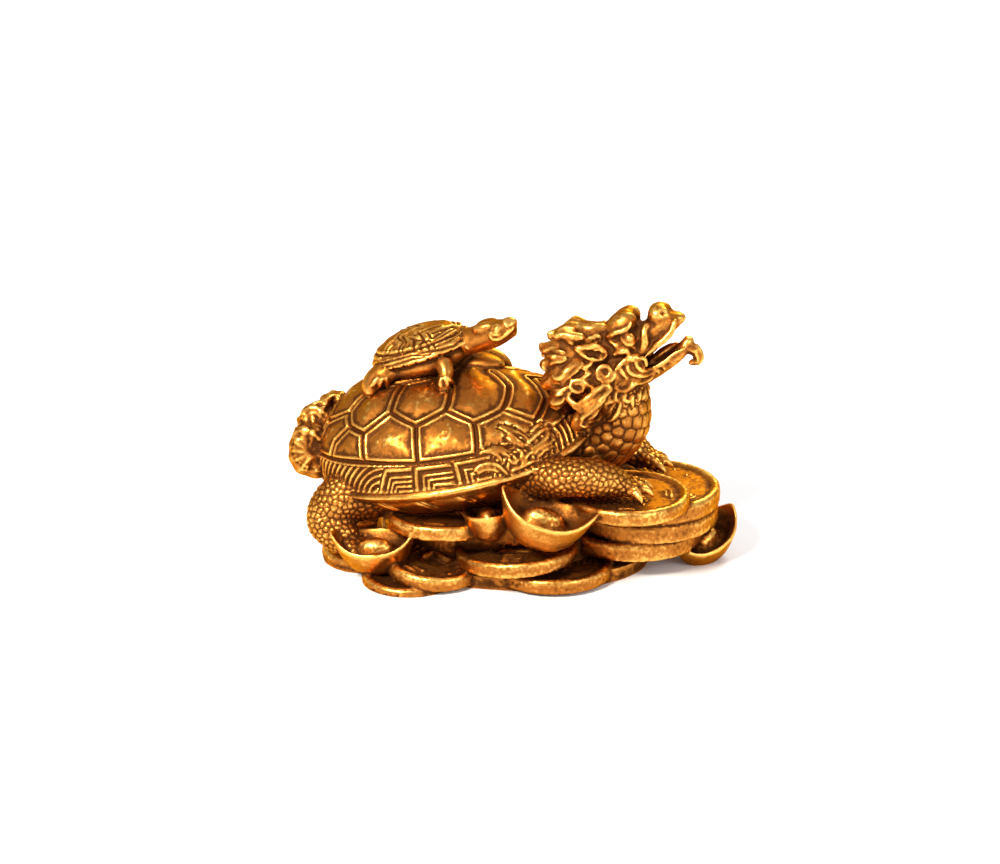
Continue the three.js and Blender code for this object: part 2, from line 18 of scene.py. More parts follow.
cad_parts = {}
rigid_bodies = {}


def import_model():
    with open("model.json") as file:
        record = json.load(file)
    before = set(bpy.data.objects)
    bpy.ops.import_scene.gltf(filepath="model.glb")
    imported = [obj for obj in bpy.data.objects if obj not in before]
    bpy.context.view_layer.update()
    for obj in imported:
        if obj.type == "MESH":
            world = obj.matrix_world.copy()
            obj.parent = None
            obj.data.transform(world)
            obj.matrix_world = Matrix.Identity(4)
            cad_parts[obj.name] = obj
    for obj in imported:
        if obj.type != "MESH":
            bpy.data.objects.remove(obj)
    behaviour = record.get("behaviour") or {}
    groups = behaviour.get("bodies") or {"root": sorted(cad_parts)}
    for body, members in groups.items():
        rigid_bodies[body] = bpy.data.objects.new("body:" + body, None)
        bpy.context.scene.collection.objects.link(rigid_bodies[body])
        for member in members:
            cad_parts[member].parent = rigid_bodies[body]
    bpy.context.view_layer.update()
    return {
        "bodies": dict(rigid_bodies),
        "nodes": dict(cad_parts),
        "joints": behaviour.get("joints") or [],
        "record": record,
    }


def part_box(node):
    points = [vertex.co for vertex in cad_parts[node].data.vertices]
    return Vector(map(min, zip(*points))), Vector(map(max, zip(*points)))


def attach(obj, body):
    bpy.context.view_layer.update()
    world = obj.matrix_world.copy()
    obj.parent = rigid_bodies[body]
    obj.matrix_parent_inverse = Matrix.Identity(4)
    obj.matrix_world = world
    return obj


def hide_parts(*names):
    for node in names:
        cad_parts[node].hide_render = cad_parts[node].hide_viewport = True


bl_info = {
    "name": "Dragon Turtle Casting",
    "version": (1, 0, 0),
    "blender": (4, 5, 0),
    "location": "3D View > Sidebar > Dragon Turtle",
    "description": "Sculpts a cast dragon turtle on a heap of coins and ingots, and its gilded finish",
    "category": "Add Mesh",
}

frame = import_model()
SOLID_LOW, SOLID_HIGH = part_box("dragon_turtle")
MODELLED_REACH = 95.98  # tail curls to front ingot in the millimetres used below
MM = (SOLID_HIGH.x - SOLID_LOW.x) / MODELLED_REACH

rad = math.radians
BODY = Matrix.Identity(4)

# Where the photograph was taken from, in degrees and millimetres. Pixels below are of its 1000 x 864 frame.
CAMERA_AZIMUTH = 13
CAMERA_ELEVATION = 20
CAMERA_DISTANCE = 603.9
CAMERA_AIM = Vector((-4.426, 8.059, 24.309))
LENS, SENSOR = 100, 36
PHOTO_WIDTH, PHOTO_HEIGHT = 1000, 864
TURN, CLIMB = rad(CAMERA_AZIMUTH), rad(CAMERA_ELEVATION)
BACK = Vector((math.sin(TURN) * math.cos(CLIMB), -math.cos(TURN) * math.cos(CLIMB), math.sin(CLIMB)))
RIGHT = Vector((math.cos(TURN), math.sin(TURN), 0))
UP = BACK.cross(RIGHT)
EYE = CAMERA_AIM + BACK * CAMERA_DISTANCE

# What a form is, so that its carving finds it in the skin.
SHELL, PLASTRON, SKIN, CLAW, NECK, FACE, LOCKS, FAN, BABY_SHELL, BABY_SKIN, COIN, INGOT, GROUND = range(1, 14)


def tilted(x, y, z, pitch):
    """The frame of a form that is tilted nose up by pitch degrees."""
    return Matrix.Translation((x, y, z)) @ Matrix.Rotation(-rad(pitch), 4, "Y")


HEAD = tilted(22.8, 0, 47.7, 36)
SHELL_FRAME = tilted(-11.2, 0, 22.2, 12.8)
BABY = tilted(-19.4, 0, 44.6, 19)


# Clay: closed forms in one bmesh, each vertex marked with its kind


AHEAD = 0.01  # share of a curve between the two places that give its direction there
FULL_SHARES = 0.3, 0.6  # a strand is full between these shares of its length
RING_SPACING = 0.5  # along a strand


def new_clay():
    clay = bmesh.new()
    clay.verts.layers.int.new("kind")
    return clay


def mark(clay, verts, kind):
    layer = clay.verts.layers.int["kind"]
    for vert in verts:
        vert[layer] = kind


def add_piece(clay, piece, kind, place=BODY):
    """Moves a finished piece into the clay."""
    bmesh.ops.remove_doubles(piece, verts=piece.verts, dist=1e-4)
    bmesh.ops.recalc_face_normals(piece, faces=piece.faces)
    piece.verts.layers.int.new("kind")
    mark(piece, piece.verts, kind)
    piece.transform(place)
    passing = bpy.data.meshes.new("passing")
    piece.to_mesh(passing)
    piece.free()
    clay.from_mesh(passing)
    bpy.data.meshes.remove(passing)


def ball(clay, kind, centre, sizes, frame=BODY, pitch=0, roll=0, sides=36, rows=24):
    place = frame @ Matrix.Translation(centre) @ Matrix.Rotation(-rad(pitch), 4, "Y")
    place = place @ Matrix.Rotation(rad(roll), 4, "X") @ Matrix.Diagonal((*sizes, 1))
    made = bmesh.ops.create_uvsphere(clay, u_segments=sides, v_segments=rows, radius=1, matrix=place)
    mark(clay, made["verts"], kind)


def spline(rows, share):
    """The Catmull-Rom curve through rows of numbers."""
    last = len(rows) - 1
    at = min(int(share * last), last - 1)
    w = share * last - at
    b, c = rows[at], rows[at + 1]
    a = rows[at - 1] if at > 0 else 2 * b - c
    d = rows[at + 2] if at + 2 <= last else 2 * c - b
    return (2 * b + (c - a) * w + (2 * a - 5 * b + 4 * c - d) * w**2 + (3 * b - a - 3 * c + d) * w**3) / 2


def rings_along(stations, count, up):
    """Rings along the curve through stations [x, y, z, half width, half height], with their directions."""
    rows = np.array(stations, float)
    rings = []
    side = None
    for i in range(count):
        share = i / (count - 1)
        here = spline(rows, share)
        ahead = spline(rows, min(share + AHEAD, 1))
        behind = spline(rows, max(share - AHEAD, 0))
        tangent = Vector(ahead[:3] - behind[:3]).normalized()
        if side is None:
            side = tangent.cross(Vector(up))
        side = (side - tangent * side.dot(tangent)).normalized()
        lift = -side.cross(tangent)
        width, height = max(here[3], 0.1), max(here[4], 0.1)
        rings.append((Vector(here[:3]), tangent, side, lift, width, height))
    return rings


def limb(clay, kind, stations, frame=BODY, sides=18, rows=26, cap=0.5, up=(0, 0, 1), ribs=0, groove=0.14):
    """A ball pulled out along a curve. With ribs it has that many ridges along it."""
    piece = bmesh.new()
    bmesh.ops.create_uvsphere(piece, u_segments=sides, v_segments=rows, radius=1)
    rings = rings_along(stations, rows - 1, up)
    for vert in piece.verts:
        row = round(math.acos(max(-1, min(1, -vert.co.z))) / math.pi * rows)
        middle, tangent, side, lift, width, height = rings[max(0, min(row - 1, rows - 2))]
        if row in (0, rows):
            out = cap * min(width, height) * (-1 if row == 0 else 1)
            vert.co = middle + tangent * out
        else:
            angle = math.atan2(vert.co.y, vert.co.x)
            swell = 1 + groove * math.cos(ribs * angle) if ribs else 1
            vert.co = middle + side * (math.cos(angle) * width * swell)
            vert.co += lift * (math.sin(angle) * height * swell)
    add_piece(clay, piece, kind, frame)


def strand(clay, kind, points, girth, ends=(0.7, 0.35)):
    """A round cord of clay through points: full in its middle, thinner at its ends."""
    full_from, full_to = FULL_SHARES
    last = len(points) - 1
    stations = []
    for i, point in enumerate(points):
        share = i / last
        thin = 1
        if share < full_from:
            thin = ends[0] + (1 - ends[0]) * share / full_from
        elif share > full_to:
            thin = 1 + (ends[1] - 1) * (share - full_to) / (1 - full_to)
        stations.append([*point, girth * thin, girth * thin])
    way = sum((Vector(b) - Vector(a)).length for a, b in zip(points, points[1:]))
    rows = max(10, int(way / RING_SPACING))
    limb(clay, kind, stations, sides=10, rows=rows, cap=0.8, up=(0.3, 0.9, 0.31))


def turned(profile, steps):
    """A profile of [radius, height] spun round +Z."""
    piece = bmesh.new()
    verts = [piece.verts.new((radius, 0, height)) for radius, height in profile]
    edges = [piece.edges.new(pair) for pair in zip(verts, verts[1:])]
    around = {"cent": (0, 0, 0), "axis": (0, 0, 1), "angle": 2 * math.pi}
    bmesh.ops.spin(piece, geom=verts + edges, **around, steps=steps, use_merge=True)
    return piece


def both(make):
    for side in (-1, 1):
        make(side)


LOOSEST = 0.35  # how far a line may pass over what carries it
STEP_BACK = 2.5  # a line follows the forms over a step back of less than this
RIB = 0.36  # half width of the tail's ribs


def forms_tree(name=""):
    """The surface of all forms made so far whose name holds name."""
    mesh = joined_forms(name)
    whole = bmesh.new()
    whole.from_mesh(mesh)
    tree = BVHTree.FromBMesh(whole)
    whole.free()
    bpy.data.meshes.remove(mesh)
    return tree


def laid(tree, pixels, off=0.0):
    """Places on the forms at pixels of the photograph, nearer the camera by off millimetres.

    Past an outline, or a step back, they stay as deep as the one before, but near what carries them.
    """
    places = []
    depth = None
    for u, v in pixels:
        sideways = (u - PHOTO_WIDTH / 2) * SENSOR / PHOTO_WIDTH
        upwards = (PHOTO_HEIGHT / 2 - v) * SENSOR / PHOTO_WIDTH
        way = (RIGHT * sideways + UP * upwards - BACK * LENS).normalized()
        found, _, _, far = tree.ray_cast(EYE, way)
        if depth is None:
            near = found or tree.find_nearest(EYE + way * CAMERA_DISTANCE)[0]
            depth = (near - EYE).dot(way)
        elif found and far < depth + STEP_BACK:
            depth = far
        place = EYE + way * depth
        carrier, _, _, gap = tree.find_nearest(place)
        if gap > LOOSEST:
            place = carrier + (place - carrier) * (LOOSEST / gap)
        places.append(place + BACK * off)
    return places


def across(frame):
    """Mirrors places from one side of a frame to its other side."""
    return frame @ Matrix.Diagonal((1, -1, 1, 1)) @ frame.inverted()


def lines(clay, tree, kind, rows, mirrors=None, bolder=1.25):
    """Raised lines through pixels, and mirrored copies of them if mirrors is the frame to mirror them in."""
    for girth, pixels in rows:
        girth = girth * bolder
        places = laid(tree, pixels, 0.5 * girth)
        strand(clay, kind, places, girth)
        if mirrors:
            strand(clay, kind, [across(mirrors) @ place for place in places], girth)


def fan_of_ribs(u, v, inner, outer, start, end, count):
    """Short lines that spread from a pixel, between two angles clockwise from the right."""
    reaches = (inner, (inner + outer) / 2, outer)
    rows = []
    for i in range(count):
        angle = rad(start + (end - start) * i / (count - 1))
        rows.append((RIB, [(u + reach * math.cos(angle), v + reach * math.sin(angle)) for reach in reaches]))
    return rows


def leave_form(clay, name):
    mesh = bpy.data.meshes.new(name)
    clay.to_mesh(mesh)
    clay.free()
    form = bpy.data.objects.new(name, mesh)
    bpy.context.scene.collection.objects.link(form)


# The shell's own surface


HALF_LENGTH, HALF_WIDTH, RISE, CROWN_SHIFT = 30.2, 24, 19.4, -4.4
RIM = 1.035  # reach of the rim's lip
RIM_DEPTH = 1.5
COLLAR_RISE, COLLAR_SPREAD = 3, 22  # millimetres, and degrees of bearing
SQUARENESS, SQUARER_BEHIND = 1.95, 0.3


def shell_power(bearing):
    return 2 / (SQUARENESS - SQUARER_BEHIND * np.cos(bearing))


def collar(bearing):
    """How far the rim sweeps up towards the neck, at a bearing in radians."""
    from_neck = np.degrees(np.arctan2(np.sin(bearing), np.cos(bearing)))
    return COLLAR_RISE * np.exp(-0.5 * (from_neck / COLLAR_SPREAD) ** 2)


def on_shell(bearing, height, rise=0.0):
    """The place at a bearing round the shell (0 is the head) and a height angle, both in radians."""
    power = shell_power(bearing)
    level = np.cos(height) ** power
    up = np.sin(height) ** power
    out = 1 + rise / HALF_WIDTH
    x = CROWN_SHIFT * up + HALF_LENGTH * level * np.cos(bearing) * out
    y = HALF_WIDTH * level * np.sin(bearing) * out
    return x, y, RISE * up * out + collar(bearing) * level


def shell_places(points):
    """The bearing, height and rise over the shell, and the millimetres in a radian of each, under points."""
    x, y, z = points.T
    up = np.clip(z / RISE, 0, 1)
    for _ in range(5):
        east = (x - CROWN_SHIFT * up) / HALF_LENGTH
        north = y / HALF_WIDTH
        bearing = np.arctan2(north, east)
        power = shell_power(bearing)
        flat = np.hypot(east, north)
        level = np.minimum(flat, 1)
        rise = np.clip((z - collar(bearing) * level) / RISE, 0, None)
        out = (flat ** (2 / power) + rise ** (2 / power)) ** (power / 2)
        height = np.arctan2(rise ** (1 / power), flat ** (1 / power))
        up = np.sin(height) ** power
    step = 0.01
    base = np.array(on_shell(bearing, height))
    high = np.minimum(height + step, math.pi / 2)
    upwards = np.array(on_shell(bearing, high)) - base
    sideways = np.array(on_shell(bearing + step, height)) - base
    per_height = np.linalg.norm(upwards, axis=0) / np.maximum(high - height, 1e-4)
    per_bearing = np.linalg.norm(sideways, axis=0) / step
    return bearing, height, (out - 1) * HALF_WIDTH, per_bearing, per_height


# Sizes a user would change


def size_of(name, of_what, default):
    return bpy.props.FloatProperty(name=name, description=of_what + " in millimetres", default=default)


def colour_of(name, where, default):
    return bpy.props.FloatVectorProperty(name=name, description=where, subtype="COLOR", default=default)


class HeapSizes(bpy.types.PropertyGroup):
    large_coin: size_of("Large coin", "Diameter", 31)
    middle_coin: size_of("Middle coin", "Diameter", 26)
    small_coin: size_of("Small coin", "Diameter", 20)


class CarvingSizes(bpy.types.PropertyGroup):
    skin: size_of("Skin", "Side of a voxel of the skin", 0.24)
    triangles: bpy.props.IntProperty(name="Triangles", description="As many as it may have", default=196000)
    pebble: size_of("Pebble", "Width of the legs' scales", 1)
    scale: size_of("Scale", "Width of the neck's scales", 2.6)


class FinishColours(bpy.types.PropertyGroup):
    rubbed: colour_of("Rubbed gold", "Gold where hands rub it", (1, 0.54, 0.12))
    gold: colour_of("Old gold", "Gold on the open faces", (0.42, 0.145, 0.022))
    # Umber is both the dark wash in the recesses and the painted shade that fills gaps and undersides.
    umber: colour_of("Umber", "Dark wash left in the recesses", (0.085, 0.026, 0.006))


# The heap


COIN_THICKNESS = 3.3
LARGE_COIN_THICKNESS = 4.1
COIN_RIM = 1.7
COIN_RECESS = 0.8
# The cast floor and the core that fills the heap: middle, half length, half width, height and taper
FLOOR = (-2.5, 32.5, 22, 3)
CORE = (-4, 27, 17, 15, 0.85)
STACK = [(25.7, 3.5), (28.8, 4.1), (29, 4.3)]
STACK_BASE = 4.6
TOP_COIN = (26.9, -7.9)
STACK_TOP = STACK_BASE + len(STACK) * LARGE_COIN_THICKNESS
TOP_COIN_BASE = STACK_TOP - 0.7


def turn_of(roll, pitch, yaw):
    turned_up = Matrix.Rotation(rad(pitch), 4, "Y") @ Matrix.Rotation(rad(roll), 4, "X")
    return Matrix.Rotation(rad(yaw), 4, "Z") @ turned_up


def coin_profile(radius, thickness):
    inner = radius - COIN_RIM
    face = thickness - COIN_RECESS
    return [
        (0, 0),
        (radius - 0.7, 0),
        (radius - 0.2, 0.2),
        (radius, 0.8),
        (radius, thickness - 0.9),
        (radius - 0.25, thickness - 0.3),
        (radius - 0.8, thickness),
        (inner + 0.3, thickness - 0.1),
        (inner - 0.1, thickness - 0.45),
        (inner - 0.4, face),
        (0, face),
    ]


# Where the coins lie, lowest first: which coin, its place and its turn.
COINS = [
    ("middle", (11.4, -11, 0.7), (0, 0, 20)),
    ("middle", (4.4, -13.6, 4.3), (-2, -4, 5)),
    ("middle", (-12, -11.4, 10.4), (-1, 0, 0)),
    ("small", (-29.4, -9.6, 0.4), (4, -4, 0)),
    ("small", (-12.9, -18.6, 1.6), (6, 0, 60)),
    ("small", (-17.7, -20, -1), (4, 0, 20)),
    ("small", (-29.4, 8, 0.4), (-4, -6, 25)),
    ("middle", (-16, 13.6, 0.6), (-5, 0, 30)),
    ("middle", (3, 14, 1.2), (-4, 0, 50)),
    ("middle", (14, 13, 4.6), (-3, 0, 10)),
    ("middle", (-13, 11, 10.4), (0, 0, 0)),
    ("middle", (*TOP_COIN, TOP_COIN_BASE), (0, 0, 12)),
]


def coins_of(sizes):
    """Each coin's radius, thickness and place."""
    diameters = {"small": sizes.small_coin, "middle": sizes.middle_coin, "large": sizes.large_coin}
    rows = []
    for size, at, turn in COINS:
        rows.append((diameters[size] / 2, COIN_THICKNESS, Matrix.Translation(at) @ turn_of(*turn)))
    for level, (x, y) in enumerate(STACK):
        place = Matrix.Translation((x, y, STACK_BASE + level * LARGE_COIN_THICKNESS))
        rows.append((diameters["large"] / 2, LARGE_COIN_THICKNESS, place @ turn_of(0, 0, 30 * level)))
    return rows


INGOT_LENGTH, INGOT_WIDTH, INGOT_HEIGHT, INGOT_HORN = 21, 13, 7.5, 3.6
# Shares of the half length and the height, from the foot over the rim to the dome
INGOT_PROFILE = [
    (0, 0),
    (0.42, 0),
    (0.5, 0.05),
    (0.66, 0.24),
    (0.82, 0.53),
    (0.94, 0.82),
    (1, 0.97),
    (0.985, 1.03),
    (0.93, 1.04),
    (0.86, 0.97),
    (0.72, 0.8),
    (0.56, 0.68),
    (0.46, 0.7),
    (0.4, 0.85),
    (0.3, 1.02),
    (0.16, 1.11),
    (0, 1.13),
]
# Each ingot: size, share of its horns' rise, place and turn
INGOTS = [
    (0.88, 1, (-24.3, -21.2, 2.2), (10, -4, 8)),
    (1, 1, (10, -20.9, 11.2), (10, 16, 10)),
    (0.8, 0.2, (-0.6, -18.6, 10.2), (4, -8, -72)),
    (0.84, 1, (42, 7, 0), (12, -20, 52)),
    (0.9, 1, (-26, 19, 2.2), (-10, 4, -14)),
    (1, 1, (2, 21, 5), (-12, -5, 6)),
    (0.8, 1, (22, 18.5, 2.4), (-12, 0, -28)),
]


def ingot(clay, size, horn, at, turn):
    half_length, half_width = INGOT_LENGTH / 2, INGOT_WIDTH / 2
    piece = turned([(share, height * INGOT_HEIGHT) for share, height in INGOT_PROFILE], 64)
    for vert in piece.verts:
        along = abs(vert.co.x)
        vert.co = Vector(
            (
                vert.co.x * half_length,
                vert.co.y * half_width * (1 - 0.4 * along**5),
                vert.co.z + horn * INGOT_HORN * along**3 * min(vert.co.z / INGOT_HEIGHT, 1),
            )
        )
    place = Matrix.Translation(at) @ turn_of(*turn)
    add_piece(clay, piece, INGOT, place @ Matrix.Diagonal((size, size, size, 1)))


def drum(clay, middle, along, across, height, top_share=1.0):
    piece = turned([(0, 0), (1, 0), (top_share, height), (0, height)], 72)
    place = Matrix.Translation((middle, 0, 0)) @ Matrix.Diagonal((along, across, 1, 1))
    add_piece(clay, piece, GROUND, place)


class CASTING_OT_heap(bpy.types.Operator):
    """Coins and ingots on their cast floor"""

    bl_idname = "casting.heap"
    bl_label = "Heap of coins and ingots"

    def execute(self, context):
        clay = new_clay()
        drum(clay, *FLOOR)
        drum(clay, *CORE)
        for radius, thickness, place in coins_of(context.scene.heap_sizes):
            add_piece(clay, turned(coin_profile(radius, thickness), 96), COIN, place)
        for row in INGOTS:
            ingot(clay, *row)
        leave_form(clay, "crisp heap")
        return {"FINISHED"}


# The big turtle


DOME_ROWS, DOME_COLUMNS = 48, 120


def shell_dome(clay):
    """The shell without its carving: rows from under its middle, round the rim and up to the crown."""
    deep = 2 * RIM_DEPTH
    under = [(0, deep), (0.5, deep), (0.86, deep), (0.98, 1.35 * RIM_DEPTH), (RIM, 0.7)]
    heights = [i * 90 / DOME_ROWS for i in range(DOME_ROWS + 1)]
    rows = len(under) + len(heights)
    profile = [(0 if row in (0, rows - 1) else 1, row) for row in range(rows)]
    piece = turned(profile, DOME_COLUMNS)
    for vert in piece.verts:
        bearing = math.atan2(vert.co.y, vert.co.x)
        row = round(vert.co.z)
        if row < len(under):
            reach, depth = under[row]
            lift = float(collar(bearing)) * min(reach, 1)
            east, north = HALF_LENGTH * reach * math.cos(bearing), HALF_WIDTH * reach * math.sin(bearing)
            vert.co = Vector((east, north, lift - depth))
        else:
            height = min(rad(heights[row - len(under)]), math.pi / 2 - 1e-6)
            vert.co = Vector([float(n) for n in on_shell(bearing, height)])
    add_piece(clay, piece, SHELL, SHELL_FRAME)


def toes(clay, x, y, bearings, floor, reach):
    for bearing in bearings:
        dx, dy = reach * math.cos(rad(bearing)), reach * math.sin(rad(bearing))

        def at(share, lift, girth):
            return [x + share * dx, y + share * dy, floor + lift, girth, girth]

        limb(clay, SKIN, [at(-0.2, 2.2, 2), at(0.2, 2.7, 1.9), at(0.6, 2.4, 1.5), at(0.85, 1.6, 1.2)])
        claw = [at(0.6, 2.2, 1.1), at(0.9, 2.3, 1), at(1.15, 1.3, 0.7), at(1.27, 0.2, 0.3)]
        limb(clay, CLAW, claw, sides=12)


class CASTING_OT_turtle(bpy.types.Operator):
    """The turtle's shell, trunk, neck and legs"""

    bl_idname = "casting.turtle"
    bl_label = "Turtle"

    def execute(self, context):
        clay = new_clay()
        ball(clay, PLASTRON, (-1, 0, -1.2), (28.5, 22.3, 9.4), SHELL_FRAME, sides=64, rows=32)
        limb(clay, NECK, NECK_STATIONS, sides=40, rows=40)

        def hind_leg(s):
            stations = [
                [-25, s * 12, 17.3, 6.1, 6.1],
                [-33, s * 14.5, 15, 5.6, 5.8],
                [-36, s * 16.8, 10.5, 4.6, 4.8],
                [-31.5, s * 19, 6.8, 4.2, 3.4],
            ]
            limb(clay, SKIN, stations, sides=32, rows=36)
            toes(clay, -31, s * 19.5, (s * 62, s * 30, s * 2), 4.2, 6)

        def front_leg(s):
            floor = TOP_COIN_BASE + COIN_THICKNESS if s < 0 else STACK_TOP
            stations = [
                [7, s * 12.6, 22.4, 5.6, 5],
                [14.5, s * 16.4, 24.6, 4.2, 4.1],
                [21.4, s * 15.2, floor + 5, 4.1, 3.9],
                [26.2, s * 12, floor + 3, 3.7, 2.8],
            ]
            limb(clay, SKIN, stations, sides=32, rows=36)
            toes(clay, 26, s * 11.7, (s * 40, s * 5, s * -30), floor, 5.8)

        both(hind_leg)
        both(front_leg)
        leave_form(clay, "soft turtle")
        clay = new_clay()
        shell_dome(clay)
        leave_form(clay, "crisp shell")
        return {"FINISHED"}


# The tail: fat curls that roll over like waves


TAIL_CURLS = [(-39.9, 2.6, 29, 3.8), (-42.4, -2.4, 27.6, 4.2), (-43, -6.8, 24, 4.4), (-41.6, 7.4, 25, 4)]

# The scallop shells that fill the curls: middle, half length, half thickness and half height
TAIL_SHELLS = [
    (-42.9, -6.6, 22, 4.6, 3.2, 5),
    (-42.4, -2.6, 26.8, 4.2, 3.3, 3.8),
    (-40, 2.4, 28.4, 3.9, 3, 3.1),
]


class CASTING_OT_tail(bpy.types.Operator):
    """The tail's fan of rolled curls"""

    bl_idname = "casting.tail"
    bl_label = "Tail"

    def execute(self, context):
        clay = new_clay()
        limb(clay, FAN, [[-30, 0, 16, 8, 6], [-36.5, -0.5, 18.5, 7, 5], [-40, -1, 23, 5.5, 3.4]], sides=28)
        for x, y, z, radius in TAIL_CURLS:
            width = radius * 0.62
            stem = [
                [-36, y * 0.5, 18, 3.6, 3],
                [x - radius * 0.3, y, z - radius * 1.1, width, 2.6],
                [x - radius * 0.45, y, z + radius * 0.15, width, 2.2],
                [x + radius * 0.3, y, z + radius * 0.55, width * 0.9, 1.7],
                [x + radius * 0.9, y, z, width * 0.6, 1],
            ]
            limb(clay, FAN, stem, sides=24, rows=36)
        for x, y, z, along, deep, high in TAIL_SHELLS:
            ball(clay, FAN, (x, y, z), (along, deep, high))
        leave_form(clay, "crisp tail")
        return {"FINISHED"}


# The dragon's head, in its own frame: +x along the skull, +z up


class CASTING_OT_head(bpy.types.Operator):
    """The dragon's head with horns, ears and goatee"""

    bl_idname = "casting.head"
    bl_label = "Dragon's head"

    def execute(self, context):
        clay = new_clay()
        ball(clay, FACE, (-0.5, 0, 0.6), (6.6, 5, 6), HEAD)
        snout = [
            [1, 0, 0.4, 4.6, 4.6],
            [7, 0, -0.6, 3.7, 3.2],
            [11.5, 0, -0.6, 3.4, 2.6],
            [14.4, 0, -0.9, 2.5, 1.8],
            [16.3, 0, -1.7, 1, 0.7],
        ]
        limb(clay, FACE, snout, HEAD, sides=28, rows=32)
        ball(clay, FACE, (12, 0, 2.2), (2.4, 3.3, 2.2), HEAD, pitch=10)
        jaw = [[0, 0, -6.4, 4, 3.2], [5, 0, -7.4, 3.2, 2], [10.5, 0, -7.3, 2.7, 1.6], [14.6, 0, -6, 1.6, 1.2]]
        limb(clay, FACE, jaw, HEAD, sides=24, rows=30)
        both(lambda s: ball(clay, FACE, (4.2, s * 2.4, 4.2), (4.2, 2.3, 2.6), HEAD, pitch=10))
        ball(clay, FACE, (3.8, 0, 4.6), (4, 2, 2.4), HEAD, pitch=10)
        both(lambda s: ball(clay, FACE, (3.6, s * 4.2, 0.9), (2.4, 1.4, 1.9), HEAD))
        both(lambda s: ball(clay, FACE, (0.6, s * 4.6, -4.8), (4.6, 1.6, 2.9), HEAD, pitch=18))
        both(lambda s: ball(clay, FACE, (13, s * 1.7, 1.9), (1.7, 1.3, 1.4), HEAD))
        both(lambda s: ball(clay, FACE, (-1.6, s * 5.4, -3.6), (3.4, 1.3, 3), HEAD))
        leave_form(clay, "soft head")

        clay = new_clay()
        goatee = [
            [13, 0, -7.1, 1.6, 1.3],
            [14.1, 0, -9, 1.5, 1.2],
            [13.3, 0, -10.7, 1.2, 1],
            [11.3, 0, -10.4, 0.6, 0.5],
        ]
        limb(clay, LOCKS, goatee, HEAD, sides=24, rows=24, up=(1, 0, 0), ribs=5)
        limb(clay, FACE, [[4, 0, -5.8, 1.9, 0.8], [8.5, 0, -5.2, 1.7, 0.7], [11.5, 0, -5.4, 0.8, 0.4]], HEAD)
        both(lambda s: self.side_of_head(clay, s))
        leave_form(clay, "crisp head")
        return {"FINISHED"}

    def side_of_head(self, clay, s):
        lip = [[6, s * 3.5, -3.2, 0.8, 1], [10.2, s * 3.2, -2.4, 0.8, 0.9], [13.6, s * 2.2, -1.6, 0.7, 0.8]]
        limb(clay, FACE, lip, HEAD)
        horn = [[-1, s * 2.8, 4.6, 1.9, 1.9], [-4, s * 4.2, 7, 1.4, 1.4], [-6.9, s * 5.4, 9.8, 0.6, 0.6]]
        limb(clay, FACE, horn, HEAD)
        ear = [[-0.5, s * 4.6, 1.4, 1, 0.8], [-2.6, s * 6.8, 3.6, 2.1, 0.7], [-4.6, s * 8.2, 6.6, 0.5, 0.3]]
        limb(clay, FACE, ear, HEAD, up=(0, s, 0))


SIDE_LOCKS = [
    [(18, 4.2, 51), (12.8, 5.4, 50.2), (8, 4.4, 48.4), 1.7],
    [(18.6, 5.6, 48.6), (12.4, 7.4, 47.4), (8.6, 6.2, 45.2), 1.9],
    [(19, 6.6, 46.4), (13, 8.8, 44.4), (9, 7.4, 41.4), 1.9],
    [(19.8, 7, 44.6), (14.6, 9.8, 41.4), (10.8, 8.8, 38), 1.9],
    [(22, 7, 43.2), (19.5, 10.8, 39), (16.6, 11.4, 34.4), 2.2],
]
CREST_TUFTS = [[(15.5, 51), (9, 50)], [(13, 47.6), (6.6, 45.4)], [(12, 43), (6.8, 39.6)]]


class CASTING_OT_mane(bpy.types.Operator):
    """The mane's locks round the neck"""

    bl_idname = "casting.mane"
    bl_label = "Mane"

    def execute(self, context):
        clay = new_clay()
        ball(clay, LOCKS, (16.5, 0, 43.5), (7.6, 7, 8))
        ball(clay, LOCKS, (20, 0, 39.5), (6, 8.6, 5.4))
        for root, belly, tip, girth in SIDE_LOCKS:

            def lock(s):
                x, y, z = tip
                stations = [
                    [root[0], s * root[1], root[2], girth * 0.7, 1],
                    [belly[0], s * belly[1], belly[2], girth, 1.4],
                    [x, s * y, z, girth * 0.8, 1.1],
                    [x - 0.9, s * (y - 0.4), z + 1.3, 0.5, 0.4],
                ]
                limb(clay, LOCKS, stations, sides=24, rows=30, up=(0, s, 0))

            both(lock)
        leave_form(clay, "soft mane")
        clay = new_clay()
        for (x0, z0), (x1, z1) in CREST_TUFTS:
            middle = [(x0 + x1) / 2, 0, (z0 + z1) / 2 + 1, 2, 1.4]
            rows = [[x0, 0, z0, 2.2, 1.6], middle, [x1, 0, z1, 0.7, 0.6]]
            limb(clay, LOCKS, rows, sides=24, ribs=8)
        leave_form(clay, "crisp mane")
        return {"FINISHED"}


BABY_PROFILE = [
    (0, -1.2),
    (8.6, -1),
    (11.2, -0.5),
    (11.6, -0.1),
    (11.6, 0.4),
    (11.2, 1),
    (10.3, 2),
    (9, 3.2),
    (7.2, 4.2),
    (5, 4.9),
    (2.6, 5.35),
    (0, 5.5),
]
BABY_NARROWING = 0.78


